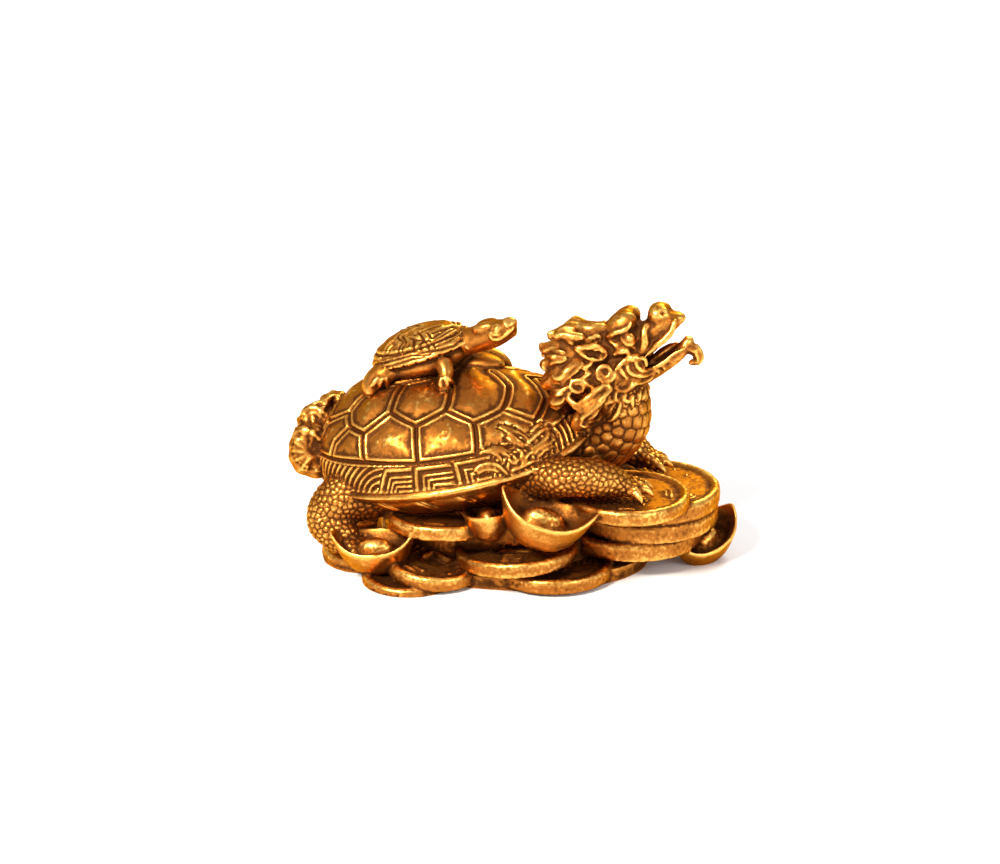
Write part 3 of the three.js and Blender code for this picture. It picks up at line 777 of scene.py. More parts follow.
class CASTING_OT_baby(bpy.types.Operator):
    """The baby turtle on the shell"""

    bl_idname = "casting.baby"
    bl_label = "Baby turtle"

    def execute(self, context):
        clay = new_clay()
        ball(clay, BABY_SKIN, (0, 0, -2), (10, 7.6, 3.4), BABY)
        ball(clay, BABY_SKIN, (-8, 2.5, 41.6), (6, 3.4, 2.4))
        neck = [
            [6, 0, -0.8, 3.6, 3.1],
            [12, -0.9, -0.5, 3, 2.9],
            [17.4, -2.4, 0.1, 2.9, 3],
            [21.8, -3.2, 0.4, 1.8, 1.9],
        ]
        limb(clay, BABY_SKIN, neck, BABY, sides=24, rows=30)
        near_arm = [
            [-13.4, -6.2, 44.4, 2.1, 2.1],
            [-12.2, -8.4, 42.4, 1.6, 1.6],
            [-12.8, -9, 40.6, 1.4, 1.3],
            [-12, -9.8, 39.2, 1.6, 0.9],
        ]
        far_arm = [
            [-12, 6, 44, 2.4, 2.2],
            [-6.6, 7, 42.6, 1.8, 1.6],
            [-3.4, 7, 41, 1.5, 1.4],
            [-2, 7, 38.4, 1.8, 1],
        ]
        limb(clay, BABY_SKIN, near_arm)
        limb(clay, BABY_SKIN, far_arm)

        def thigh(s):
            rows = [
                [-25.4, s * 5, 41.4, 2.8, 2.4],
                [-28.6, s * 6.8, 39, 2.4, 2.2],
                [-29.6, s * 7.8, 36.4, 2.2, 1.3],
            ]
            limb(clay, BABY_SKIN, rows)

        both(thigh)
        limb(clay, BABY_SKIN, [[-28, 0, 41, 1.6, 1.2], [-31.2, 0, 38.4, 0.9, 0.8], [-33, 1, 36.4, 0.5, 0.5]])
        leave_form(clay, "soft baby")
        clay = new_clay()
        both(lambda s: ball(clay, BABY_SKIN, (15.8, -2.2 + s * 1.2, 2), (2.7, 1.4, 1.3), BABY))
        ball(clay, BABY_SKIN, (21, -3.1, 1.5), (2, 1.7, 1.4), BABY)
        piece = turned(BABY_PROFILE, 96)
        bmesh.ops.scale(piece, vec=(1, BABY_NARROWING, 1), verts=piece.verts)
        add_piece(clay, piece, BABY_SHELL, BABY)
        leave_form(clay, "crisp baby")
        return {"FINISHED"}


# Lines carved where the photograph shows them: half width in millimetres before it is made bolder, and pixels


WHISKER = (0.76, [
    (647, 325), (644, 332), (645, 341), (643, 349), (639, 354),
    (633, 358), (626, 360), (621, 364), (616, 369),
])
# The spiral where the whisker ends: pixel in its middle and radius, how it winds, and how far it stands out
CHEEK_RING = (604.5, 373, 2.05)
SPIRAL_SPOTS, SPIRAL_TURN, SPIRAL_CLOSING = 24, 1 / 2.4, 0.028
SPIRAL_GIRTH, SPIRAL_LIFT, BUTTON_LIFT = 0.55, 0.5, 1.3
FACE_LINES = [
    WHISKER,
    (0.62, [(675, 320), (672, 330), (667, 337), (660, 343), (653, 349), (646, 356)]),
    (0.34, [(662, 338), (655, 346), (648, 352)]),
    (0.42, [
        (615, 371), (617, 377), (614, 384), (617, 389), (623, 391),
        (630, 388), (634, 384), (642, 383), (650, 380), (656, 371),
    ]),
    (0.38, [(620, 365), (621, 371), (624, 375), (627, 379)]),
    (0.42, [(627, 364), (628, 370), (632, 374), (640, 376), (648, 375), (654, 371)]),
    (0.45, [
        (636, 360), (637, 366), (641, 370), (648, 370), (656, 367),
        (663, 363), (670, 357), (677, 352), (685, 348),
    ]),
    (0.4, [(638, 359), (644, 358), (648, 362), (649, 368)]),
    (0.36, [(669, 360), (673, 367)]),
    (0.36, [(662, 365), (666, 373)]),
    (0.36, [(658, 370), (660, 377)]),
    (0.55, [(607, 338), (615, 333), (622, 331), (629, 327), (631, 321)]),
    (0.38, [(621, 338), (626, 333), (632, 333), (638, 338)]),
    (0.6, [(614, 355), (619, 352), (625, 351), (631, 353)]),
    (0.38, [(621, 339), (626, 344), (632, 344), (638, 339)]),
    (0.36, [(610, 342), (616, 346), (618, 351), (615, 356)]),
    (0.36, [(631, 346), (635, 349), (634, 353), (629, 357)]),
    (0.36, [(576, 342), (583, 340), (589, 341)]),
    (0.36, [(577, 344), (587, 343), (595, 343), (601, 345)]),
    (0.4, [(588, 338), (592, 338), (596, 339)]),
    (0.4, [(594, 335), (598, 336), (602, 338)]),
    (0.4, [(597, 332), (601, 333), (605, 335)]),
]
# How far the horns stand out, and where the far ones go from their mirrored place: low behind the skull
HORN_LIFT = 0.5
FAR_HORN_DROP = Vector((0.6, 0, -2.6))
HORN_LINES = [
    (1.1, [(604, 328), (596, 325), (588, 322), (578, 322)]),
    (1.0, [(582, 338), (573, 337), (563, 335), (554, 335)]),
]
EAR_LINES = [
    (0.45, [(577, 348), (585, 348), (594, 346), (601, 348), (607, 352)]),
    (0.45, [(577, 350), (584, 356), (592, 359), (599, 360), (605, 357), (607, 353)]),
    (0.3, [(587, 350), (595, 350), (601, 352), (605, 353)]),
]
MANE_LINES = [
    (0.42, [(581, 360), (575, 365), (569, 370), (563, 376), (558, 379), (554, 378), (552, 375)]),
    (0.36, [(577, 359), (571, 364), (566, 369), (561, 372)]),
    (0.38, [(583, 363), (578, 369), (572, 374), (567, 378), (561, 383), (555, 383)]),
    (0.38, [(552, 389), (557, 391), (563, 390), (567, 387)]),
    (0.36, [(592, 363), (588, 366), (584, 369), (588, 371), (591, 370)]),
    (0.36, [(591, 373), (587, 375), (582, 379), (583, 382), (588, 381)]),
    (0.38, [(571, 382), (578, 380), (584, 382), (588, 387), (586, 393), (581, 396)]),
    (0.36, [(570, 385), (572, 390), (578, 393), (583, 390), (583, 386), (579, 383), (575, 385)]),
    (0.5, [
        (604, 385), (598, 389), (593, 394), (588, 398), (582, 402),
        (575, 405), (570, 402), (568, 397), (570, 393),
    ]),
    (0.38, [(601, 395), (594, 400), (588, 404), (581, 407), (574, 408), (568, 405), (566, 399)]),
    (0.42, [(592, 384), (593, 389), (596, 391), (601, 389), (604, 386)]),
    (0.38, [(605, 386), (609, 387), (611, 390), (607, 394)]),
    (0.44, [(611, 389), (606, 394), (601, 398), (594, 403), (588, 408)]),
    (0.4, [(604, 396), (597, 402), (591, 407), (583, 411), (578, 413)]),
    (0.46, [(605, 399), (599, 404), (593, 409), (587, 414), (582, 418), (582, 422), (579, 426)]),
    (0.42, [(606, 402), (605, 409), (602, 415), (597, 421), (592, 425), (585, 427), (580, 426)]),
    (0.36, [(598, 410), (594, 415), (589, 420)]),
    (0.36, [(601, 412), (596, 419), (590, 423)]),
    (0.42, [(572, 409), (575, 411), (572, 415), (569, 417), (571, 421), (576, 420)]),
    (0.38, [(609, 396), (609, 402), (612, 401), (615, 399)]),
    (0.38, [(616, 393), (615, 398), (618, 400), (621, 396)]),
    (0.38, [(620, 402), (619, 409), (616, 415), (611, 421), (607, 421)]),
    (0.38, [(615, 402), (611, 408), (609, 414), (607, 418)]),
    (0.38, [(626, 393), (624, 398), (627, 402), (630, 399)]),
    (0.38, [(633, 395), (632, 401), (633, 408)]),
    (0.38, [(640, 390), (639, 397), (638, 402)]),
    (0.38, [(645, 390), (644, 396), (642, 399)]),
    (0.4, [(542, 352), (547, 350), (553, 348), (560, 347)]),
    (0.38, [(545, 353), (552, 352), (558, 351), (565, 352)]),
    (0.4, [(543, 356), (551, 357), (558, 357), (566, 357)]),
    (0.38, [(543, 362), (544, 369), (548, 371)]),
    (0.4, [(550, 364), (555, 362), (562, 361), (567, 360)]),
    (0.38, [(551, 393), (556, 395), (563, 394)]),
    (0.4, [(550, 402), (555, 404), (562, 402), (564, 398)]),
    (0.38, [(551, 406), (556, 408), (562, 407)]),
    (0.42, [(554, 336), (562, 336), (568, 338), (576, 340)]),
    (0.38, [(565, 338), (571, 343), (576, 345)]),
]
FLAME_LINES = [
    (0.44, [(499, 427), (507, 432), (515, 438), (524, 444)]),
    (0.38, [(501, 426), (511, 430), (521, 434), (529, 439)]),
    (0.36, [(506, 437), (513, 442), (522, 446)]),
    (0.4, [(488, 449), (496, 450), (503, 453), (510, 457)]),
    (0.38, [(492, 447), (501, 448), (510, 452)]),
    (0.38, [(480, 453), (489, 451), (496, 454), (501, 460)]),
    (0.38, [(475, 471), (480, 466), (489, 464), (497, 465), (503, 470), (507, 475)]),
    (0.36, [(478, 473), (483, 470), (491, 469), (498, 472)]),
    (0.38, [(509, 460), (515, 463), (517, 460), (514, 456)]),
    (0.38, [(517, 449), (522, 453), (521, 460), (527, 457)]),
    (0.42, [(512, 471), (521, 467), (529, 463), (539, 460)]),
    (0.38, [(522, 467), (524, 461), (529, 454), (536, 449)]),
    (0.36, [(531, 432), (536, 427), (543, 423)]),
    (0.36, [(528, 443), (535, 436), (543, 430), (550, 426)]),
    (0.36, [(532, 449), (541, 443), (548, 436), (549, 427)]),
    (0.36, [(539, 456), (546, 450), (555, 446)]),
    (0.36, [(534, 454), (542, 447), (550, 443), (557, 436)]),
]
TAIL_LINES = [
    (0.42, [(292, 430), (298, 428), (305, 429), (312, 432), (317, 437), (321, 440), (326, 445)]),
    (0.36, [(294, 434), (300, 431), (306, 432), (311, 434)]),
    (0.44, [(298, 420), (305, 411), (313, 408), (320, 410), (326, 415), (330, 421), (333, 425)]),
    (0.36, [(302, 419), (308, 414), (314, 413), (320, 415), (324, 420)]),
    (0.42, [(314, 404), (320, 400), (326, 398), (334, 396), (341, 400), (347, 405), (349, 409)]),
    (0.36, [(334, 400), (339, 402), (343, 406), (345, 412)]),
    (0.36, [(318, 429), (326, 435), (332, 441)]),
    (0.36, [(321, 427), (329, 434), (335, 440)]),
    (0.38, [(317, 470), (321, 465), (325, 458)]),
    (0.38, [(320, 472), (324, 466), (329, 460)]),
]
# Each fan: pixel in its middle, inner and outer reach in pixels, first and last angle, and how many ribs
TAIL_FANS = [(316, 447, 11, 25, 112, 204, 9), (322, 421, 9, 23, 172, 214, 4), (333, 410, 6, 13, 190, 330, 6)]
# The grooves of the baby turtle's shell: pixels, and the width and depth of all
BABY_LINES = [
    [
        (381, 360), (391, 358), (402, 355), (412, 352), (422, 353),
        (432, 351), (443, 349), (454, 346), (462, 340), (467, 335),
    ],
    [(375, 365), (386, 362), (400, 358), (411, 355), (422, 355), (430, 354)],
    [(375, 369), (387, 367), (401, 363), (413, 359), (424, 357)],
    [(382, 359), (386, 352), (388, 346), (397, 338), (402, 332), (411, 328), (420, 326)],
    [(398, 338), (403, 342), (400, 346), (399, 353)],
    [(402, 336), (406, 342), (403, 346), (402, 352)],
    [(403, 336), (412, 331), (424, 326)],
    [(418, 332), (424, 340), (428, 345), (429, 350)],
    [(424, 340), (420, 346), (422, 352)],
    [(410, 338), (415, 340), (424, 340)],
    [(414, 341), (414, 350)],
    [(427, 333), (432, 338), (439, 334), (449, 328), (453, 326)],
    [(428, 340), (432, 342), (441, 337), (455, 329), (460, 328)],
    [(434, 346), (432, 343), (445, 338), (460, 330), (464, 329)],
    [(435, 347), (449, 341), (464, 332)],
    [(389, 350), (393, 345), (397, 342)],
    [(385, 356), (390, 352), (395, 345)],
    [(393, 343), (400, 334), (408, 329), (417, 326)],
    [(415, 335), (424, 331), (432, 328), (440, 326)],
    [(433, 333), (441, 330), (448, 328), (456, 327)],
]
BABY_GROOVE = 0.32, 0.34
BABY_FACE_LINES = [
    (0.32, [(490, 333), (491, 338), (495, 340), (502, 338), (512, 330), (517, 326)]),
    (0.24, [(492, 327), (496, 325), (501, 327), (502, 331)]),
    (0.24, [(492, 329), (493, 334), (498, 335), (501, 333)]),
    (0.24, [(461, 344), (463, 349), (466, 353)]),
    (0.24, [(465, 343), (467, 348), (470, 351)]),
    (0.24, [(504, 322), (507, 326), (511, 325)]),
]
BABY_ARM_TOES = [
    (0.34, [(438, 377), (434, 382), (431, 386)]),
    (0.34, [(441, 378), (440, 384), (441, 388)]),
    (0.34, [(444, 378), (447, 383), (448, 388)]),
    (0.34, [(446, 377), (451, 381), (454, 385)]),
]
BABY_LEG_TOES = [
    (0.42, [(378, 377), (374, 383), (371, 387)]),
    (0.42, [(382, 378), (380, 384), (379, 389)]),
    (0.42, [(386, 378), (387, 384), (387, 388)]),
]
# Eyes: kind, mirroring frame, pixel and radius in millimetres
EYES = [(FACE, BODY, 629.5, 338.5, 1.1), (BABY_SKIN, BABY, 497, 330, 0.75)]
# Scoops: the pixel in their middle, radius and depth in millimetres
SCOOPS = [
    (662, 313, 0.75, 0.45),
    (664.5, 314.5, 0.6, 0.4),
    (590, 353, 1.0, 0.4),
    (597, 354, 1.0, 0.5),
]
TAIL_SCOOPS = [
    (319, 421, 2.0, -0.35),
    (330, 409, 1.4, 0.3),
    (316, 449, 1.7, 0.4),
]


class CASTING_OT_relief(bpy.types.Operator):
    """The raised lines of the head, the mane, the shell's flames, the tail and the baby turtle"""

    bl_idname = "casting.relief"
    bl_label = "Raised lines"

    def execute(self, context):
        tree = forms_tree()
        clay = new_clay()
        lines(clay, tree, FACE, FACE_LINES, BODY)
        lines(clay, tree, FACE, EAR_LINES, BODY)
        for girth, pixels in HORN_LINES:
            places = laid(tree, pixels, HORN_LIFT)
            far_places = [FAR_HORN_DROP + across(BODY) @ place for place in places]
            for way in (places, far_places):
                strand(clay, FACE, way, girth, ends=(1, 0.8))
        self.cheek_ring(clay, tree)
        lines(clay, tree, LOCKS, MANE_LINES, BODY, 1.4)
        lines(clay, tree, LOCKS, FLAME_LINES, BODY, 1.15)
        tail = forms_tree("tail")
        lines(clay, tail, FAN, TAIL_LINES)
        for fan in TAIL_FANS:
            lines(clay, tail, FAN, fan_of_ribs(*fan))
        lines(clay, tree, CLAW, BABY_ARM_TOES)
        lines(clay, tree, CLAW, BABY_LEG_TOES, BABY)
        for kind, frame, u, v, radius in EYES:
            (place,) = laid(tree, [(u, v)])
            for middle in (place, across(frame) @ place):
                ball(clay, kind, middle, (radius, radius, radius))
        lines(clay, tree, BABY_SKIN, BABY_FACE_LINES)
        leave_form(clay, "crisp lines")
        return {"FINISHED"}

    def cheek_ring(self, clay, tree):
        """The spiral where the whisker ends, on a low button that faces the viewer."""
        u, v, radius = CHEEK_RING
        (middle,) = laid(tree, [(u, v)], BUTTON_LIFT)
        spots = []
        for i in range(SPIRAL_SPOTS):
            reach, turn = radius * (1 - SPIRAL_CLOSING * i), i * SPIRAL_TURN
            level = middle + RIGHT * (reach * math.cos(turn)) - UP * (reach * math.sin(turn))
            spots.append(level + BACK * SPIRAL_LIFT)
        button = Matrix.Translation(middle) @ BACK.to_track_quat("Z", "Y").to_matrix().to_4x4()
        for mirror in (BODY, across(BODY)):
            strand(clay, FACE, [mirror @ spot for spot in spots], SPIRAL_GIRTH, ends=(1, 0.7))
            ball(clay, FACE, (0, 0, -1.5), (radius, radius, 2), mirror @ button)


# One skin over all forms


def applied(thing, kind, **settings):
    """The mesh of an object with one modifier on it."""
    modifier = thing.modifiers.new("step", kind)
    for name, value in settings.items():
        setattr(modifier, name, value)
    graph = bpy.context.evaluated_depsgraph_get()
    mesh = bpy.data.meshes.new_from_object(thing.evaluated_get(graph))
    thing.modifiers.remove(modifier)
    return mesh


def read(items, field, width, kind=np.float32):
    """A field of a mesh's vertices, edges or attribute values as rows of numbers."""
    values = np.empty(len(items) * width, kind)
    items.foreach_get(field, values)
    return values.reshape(-1, width)


def places_of(mesh):
    return read(mesh.vertices, "co", 3).astype(float)


def normals_of(mesh):
    return read(mesh.vertex_normals, "vector", 3).astype(float)


def edges_of(mesh):
    return read(mesh.edges, "vertices", 2, np.int32)


def kinds_of(mesh):
    return read(mesh.attributes["kind"].data, "value", 1, np.int32)[:, 0]


def both_ways(edges):
    """Each edge's vertices and their neighbours, once from either end."""
    return np.concatenate([edges[:, 0], edges[:, 1]]), np.concatenate([edges[:, 1], edges[:, 0]])


def put_places(mesh, places):
    mesh.vertices.foreach_set("co", places.astype(np.float32).ravel())
    mesh.update()


def spread(values, edges, rounds, share=0.5):
    """Evens out values over neighbouring vertices."""
    count = len(values)
    ends, others = both_ways(edges)
    around = np.maximum(np.bincount(ends, minlength=count), 1)
    for _ in range(rounds):
        if values.ndim == 1:
            mean = np.bincount(ends, values[others], count) / around
        else:
            columns = [np.bincount(ends, values[others, i], count) / around for i in range(values.shape[1])]
            mean = np.stack(columns, axis=1)
        values = values + share * (mean - values)
    return values


def joined_forms(word):
    """All forms whose name holds word, as one mesh."""
    whole = bmesh.new()
    for form in [o for o in bpy.data.objects if o.name.startswith(("soft", "crisp")) and word in o.name]:
        whole.from_mesh(form.data)
    mesh = bpy.data.meshes.new("joined forms")
    whole.to_mesh(mesh)
    whole.free()
    return mesh


def outer_skin(mesh):
    """Takes out whatever lies sealed inside the skin."""
    count = len(mesh.vertices)
    ends, others = both_ways(edges_of(mesh))
    order = np.argsort(ends, kind="stable")
    others = others[order]
    first = np.searchsorted(ends[order], np.arange(count + 1))
    most = np.diff(first).max()
    slots = first[:-1, None] + np.arange(most)
    around = np.where(slots < first[1:, None], others[np.minimum(slots, len(others) - 1)], -1)
    reached = np.zeros(count, bool)
    front = np.array([places_of(mesh)[:, 0].argmin()])
    reached[front] = True
    while len(front):
        near = around[front].ravel()
        near = near[near >= 0]
        front = np.unique(near[~reached[near]])
        reached[front] = True
    inner = np.nonzero(~reached)[0]
    if len(inner):
        work = bmesh.new()
        work.from_mesh(mesh)
        work.verts.ensure_lookup_table()
        bmesh.ops.delete(work, geom=[work.verts[i] for i in inner], context="VERTS")
        work.to_mesh(mesh)
        work.free()


def tree_of(points):
    tree = kdtree.KDTree(len(points))
    for i, point in enumerate(points):
        tree.insert(point, i)
    tree.balance()
    return tree


def nearest(tree, points):
    return np.array([tree.find(point)[1] for point in points])


def smooth_step(low, high, value):
    share = np.clip((value - low) / (high - low), 0, 1)
    return share * share * (3 - 2 * share)


def ridge(distance, half_width):
    """1 on a line, falling roundly to 0 at half_width from it."""
    return np.sqrt(np.clip(1 - (distance / half_width) ** 2, 0, 1))


def between_cells(table, low, share):
    """A table's values between its cells: share is how far each point lies from its low cell to the next."""
    total = np.zeros(len(low))
    for steps in product((0, 1), repeat=3):
        weight = np.ones(len(low))
        for axis, step in enumerate(steps):
            weight *= share[:, axis] if step else 1 - share[:, axis]
        cell = (low + steps) % table.shape
        total += weight * table[cell[:, 0], cell[:, 1], cell[:, 2]]
    return total


def grain(points, size, seed=0):
    """Smooth noise from -1 to 1 with lumps of a size."""
    table = np.random.default_rng(seed).uniform(-1, 1, (16, 16, 16))
    scaled = points / size + 64
    corner = np.floor(scaled).astype(int)
    share = scaled - corner
    return between_cells(table, corner, share * share * (3 - 2 * share))


def within(points, frame):
    """Points in the millimetres of a frame."""
    back = np.array(frame.inverted())
    return points @ back[:3, :3].T + back[:3, 3]


# The carving


# The seams between the shell's plates on the near side, as bearings and heights; the far side mirrors them.
SEAMS = [
    [(180, 48), (190, 48), (204, 40), (221, 50), (230, 41), (241, 37.5), (255.5, 51), (271, 40.5)],
    [(271, 40.5), (290, 47.5), (300, 36), (319, 38), (327, 25), (345, 30), (360, 42)],
    [(180, 18), (243, 20), (268, 18), (293, 18), (327, 18)],
    [(204, 40), (202, 18)],
    [(230, 41), (222, 30), (220, 19)],
    [(241, 37.5), (243, 20)],
    [(271, 40.5), (268, 18)],
    [(300, 36), (293, 18)],
    [(327, 25), (325, 18)],
    [(221, 50), (216, 72)],
    [(255.5, 51), (254, 74)],
    [(290, 47.5), (309, 66), (318, 74)],
    [(319, 38), (339, 46), (352, 56)],
    [(180, 72), (216, 72), (254, 74), (318, 74), (360, 70)],
]
# Bearings of the fret's leaning uprights at their foot and head, from the tail to the neck.
FRET = [(246.5, 252.5), (263, 265.8), (280.7, 282.2), (295.5, 299)]
FRET_TOP, FRET_FOOT = 16, 2.5


def seam_distance(bearing, height, per_bearing, per_height):
    """Millimetres to the nearest seam. All angles in degrees, the pers in millimetres a degree."""
    best = np.full(len(bearing), 99.0)
    for way in SEAMS:
        for (b0, h0), (b1, h1) in zip(way, way[1:]):
            dx, dy = (bearing - b0) * per_bearing, (height - h0) * per_height
            ex, ey = (b1 - b0) * per_bearing, (h1 - h0) * per_height
            share = np.clip((dx * ex + dy * ey) / (ex * ex + ey * ey + 1e-9), 0, 1)
            best = np.minimum(best, np.hypot(dx - share * ex, dy - share * ey))
    return best


# The carving of the shell: half widths, depths, heights and spacings in millimetres
SEAM_WIDTH, SEAM_DEPTH = 0.42, 0.42  # the groove between two plates
WELT_WIDTH, WELT_HEIGHT, WELT_AWAY = 0.36, 0.42, 0.78  # the raised line beside it
BULGE_HEIGHT, BULGE_WIDTH = 0.9, 3.5  # how a plate rises from its groove
FRET_GROUND, FRET_BAR, FRET_SPACING = -0.2, 0.55, 1.05
OVER_FRET = 1.2  # degrees from the fret's top to the lowest plates
PAIR_SPACING, PAIR_SLANT = 19, 2.2  # degrees between the pairs of grooves under the rim, and their slant


def near_side(bearing):
    """Bearings in degrees, those of the far side mirrored to the near side."""
    bearing = np.degrees(bearing) % 360
    return np.where(bearing < 180, 360 - bearing, bearing)


def near_places(points):
    """The bearing, height and rise of points over the shell, in degrees and mirrored to the near side."""
    bearing, height, rise, per_bearing, per_height = shell_places(within(points, SHELL_FRAME))
    return near_side(bearing), np.degrees(height), rise, rad(1) * per_bearing, rad(1) * per_height


def shell_carving(points):
    """The shell's plates between their double lines, and the fret in the band round its rim."""
    bearing, height, rise, per_bearing, per_height = near_places(points)
    seam = seam_distance(bearing, height, per_bearing, per_height)
    bulge = BULGE_HEIGHT * (1 - np.exp(-((seam / BULGE_WIDTH) ** 2)))
    rough = 0.12 * smooth_step(1.5, 4, seam) * grain(points, 0.8, 3)
    plates = 0.1 - SEAM_DEPTH * ridge(seam, SEAM_WIDTH) + WELT_HEIGHT * ridge(seam - WELT_AWAY, WELT_WIDTH)
    plates += bulge + rough

    cut = np.full(len(points), -0.12)
    top = (FRET_TOP - height) * per_height
    level = (height - FRET_FOOT) / (FRET_TOP - FRET_FOOT)
    uprights = [foot + (head - foot) * level for foot, head in FRET]
    for start, end in zip(uprights, uprights[1:]):
        along = (bearing - start) * per_bearing
        left = (end - bearing) * per_bearing
        inside = (along > -0.1) & (left > 0.55)
        corner = np.minimum(along, top + 0.15)
        inner_bars = ridge((corner - 1.7) % FRET_SPACING - 0.4, 0.32) * (corner > 1.6)
        bars = np.maximum(ridge(corner - 0.5, 0.5), inner_bars)
        cut = np.where(inside, FRET_GROUND + FRET_BAR * bars, cut)
    behind = (uprights[0] - bearing) * per_bearing
    sweep = np.hypot(behind - 0.4, (height - 1) * per_height)
    arcs = ridge(sweep % 1.5 - 0.75, 0.42)
    cut = np.where(behind > 0.25, FRET_GROUND + FRET_BAR * arcs, cut)
    ahead = (bearing - uprights[-1]) * per_bearing
    swirl = np.hypot(ahead - 5, (height - 4) * per_height)
    cut = np.where(ahead > 0, FRET_GROUND + 0.5 * ridge(swirl % 1.4 - 0.7, 0.4), cut)
    lowest_plates = FRET_TOP + OVER_FRET
    fade = smooth_step(0, 2, height - 0.4) * smooth_step(lowest_plates, FRET_TOP + 0.2, height)
    band = np.where(height < lowest_plates, fade * cut, plates)
    edge = 0.35 * ridge((height - 1.2) * per_height, 0.6)
    carved = np.where(height > lowest_plates, plates, band + edge)
    return np.where(np.abs(rise) < 1.4, carved, 0)


def plate_middles(points):
    """1 in the middle of each of the shell's plates, where hands rub it."""
    bearing, height, _, per_bearing, per_height = near_places(points)
    seam = seam_distance(bearing, height, per_bearing, per_height)
    return smooth_step(1.5, 4.5, seam) * (height > FRET_TOP + 2)


def plastron_carving(points):
    """Pairs of slanting grooves in the rounded edge under the shell's rim."""
    inside = within(points, SHELL_FRAME)
    bearing = near_side(np.arctan2(inside[:, 1] / HALF_WIDTH, inside[:, 0] / HALF_LENGTH))
    slanted = (bearing - 212 + PAIR_SLANT * inside[:, 2]) % PAIR_SPACING
    line = np.minimum(np.abs(slanted - 4), np.abs(slanted - 6.2)) * 0.5
    return -0.35 * ridge(line, 0.28) * (inside[:, 2] < -0.5)


def scattered(points, spacing, seed):
    """Some of the points, no two of them nearer than spacing."""
    order = np.random.default_rng(seed).permutation(len(points))[: len(points) // 5]
    taken = {}
    chosen = []
    around = list(product((-1, 0, 1), repeat=3))
    for point in points[order].tolist():
        cell = [math.floor(n / spacing) for n in point]
        cells = [tuple(n + step for n, step in zip(cell, steps)) for steps in around]
        near = [other for cell_near in cells for other in taken.get(cell_near, ())]
        if all(math.dist(point, other) >= spacing for other in near):
            taken.setdefault(tuple(cell), []).append(point)
            chosen.append(point)
    return chosen


def cobbles(points, seeds, height):
    """Rounded scales round seeds, with grooves where they meet."""
    if len(seeds) < 2:
        return np.zeros(len(points))
    tree = tree_of(seeds)
    found = [tree.find_n(point, 2) for point in points]
    first = np.array([pair[0][2] for pair in found])
    second = np.array([pair[1][2] for pair in found])
    share = 2 * first / (first + second + 1e-9)
    return height * (np.sqrt(np.clip(1 - share**2.2, 0, 1)) - 0.45)


NECK_STATIONS = [
    [6, 0, 25.5, 10, 7.5],
    [16.5, 0, 26.5, 8, 7.4],
    [22.6, 0, 31.5, 6.8, 7],
    [23.4, 0, 37.5, 6.2, 6.2],
    [21.5, 0, 44, 5.4, 5.6],
]


def neck_seeds(points, width):
    """Rows of seeds round the neck, every second row moved by half a scale."""
    tree = tree_of(points)
    seeds = []
    rings = rings_along(NECK_STATIONS, 14, (0, 0, 1))
    for row, (middle, _, side, lift, half_width, half_height) in enumerate(rings):
        count = round(2 * math.pi * half_width / width)
        for column in range(count):
            angle = 2 * math.pi * (column + 0.5 * (row % 2)) / count
            spot = middle + side * (math.cos(angle) * half_width) + lift * (math.sin(angle) * half_height)
            place, _, gap = tree.find(spot)
            if gap < 1.5:
                seeds.append(place)
    return seeds


FAN_RIBS, FAN_TWIST = 11, 3  # ribs round a curl, and how they bend on their way out
FAN_RIMS = 0.86, 1.15  # shares of a curl's radius


def fan_carving(points):
    """Ribs that fan out from each curl's dark hollow to its scalloped rim."""
    carved = np.zeros(len(points))
    best = np.full(len(points), 9.0)
    for x, y, z, radius in TAIL_CURLS:
        dx, dz = points[:, 0] - (x + 0.25 * radius), points[:, 2] - (z - 0.15 * radius)
        reach = np.hypot(dx, dz) / radius
        aside = np.abs(points[:, 1] - y) / (0.62 * radius)
        near = reach + 0.5 * aside
        angle = np.arctan2(dz, dx)
        ribs = np.cos(FAN_RIBS * angle + FAN_TWIST * reach) * smooth_step(0.25, 0.6, reach)
        rims = sum(ridge((reach - rim) * radius, 0.4) for rim in FAN_RIMS)
        here = 0.12 * ribs + 0.1 * rims
        carved = np.where(near < best, here, carved)
        best = np.minimum(best, near)
    return np.where(best < 2.2, carved, 0)


BABY_RIM = 0.86  # share of the shell's reach


def baby_carving(points):
    """A double line round the baby's rim and upright grooves in the band under it."""
    x, y, z = within(points, BABY).T
    y = y / BABY_NARROWING
    widest = BABY_PROFILE[3][0]
    reach = np.hypot(x, y) / widest
    bearing = np.degrees(np.arctan2(y, x)) % 360
    rim = (reach - BABY_RIM) * widest
    ring = 0.25 * ridge(np.abs(rim) - 0.5, 0.3) - 0.3 * ridge(rim, 0.3)
    band = -0.3 * ridge(((bearing % 14) - 7) * 0.19, 0.3) * (z < 0)
    return np.where(rim < -0.9, 0.04 * grain(points, 0.6, 9), ring * (z > 0) + band)


def grooves(points, ways, width, depth):
    """Thin grooves along ways of places, with a raised edge on both sides."""
    best = np.full(len(points), 9.0)
    for way in ways:
        for start, end in zip(way, way[1:]):
            start, step = np.array(start), np.array(end - start)
            share = np.clip((points - start) @ step / (step @ step), 0, 1)
            best = np.minimum(best, np.linalg.norm(points - start - share[:, None] * step, axis=1))
    return 0.3 * depth * ridge(best - 2 * width, width) - depth * ridge(best, width)


def scoops(points, tree, rows):
    """Hollows with steep sides, or bumps where the depth is negative. The head's are mirrored too."""
    carved = np.zeros(len(points))
    for u, v, radius, depth in rows:
        (middle,) = laid(tree, [(u, v)])
        for side in (1, -1):
            if side == -1 and middle.x < 0:
                continue
            away = np.linalg.norm(points - (middle.x, side * middle.y, middle.z), axis=1)
            carved -= depth * smooth_step(radius * 1.15, radius * 0.45, away)
    return carved


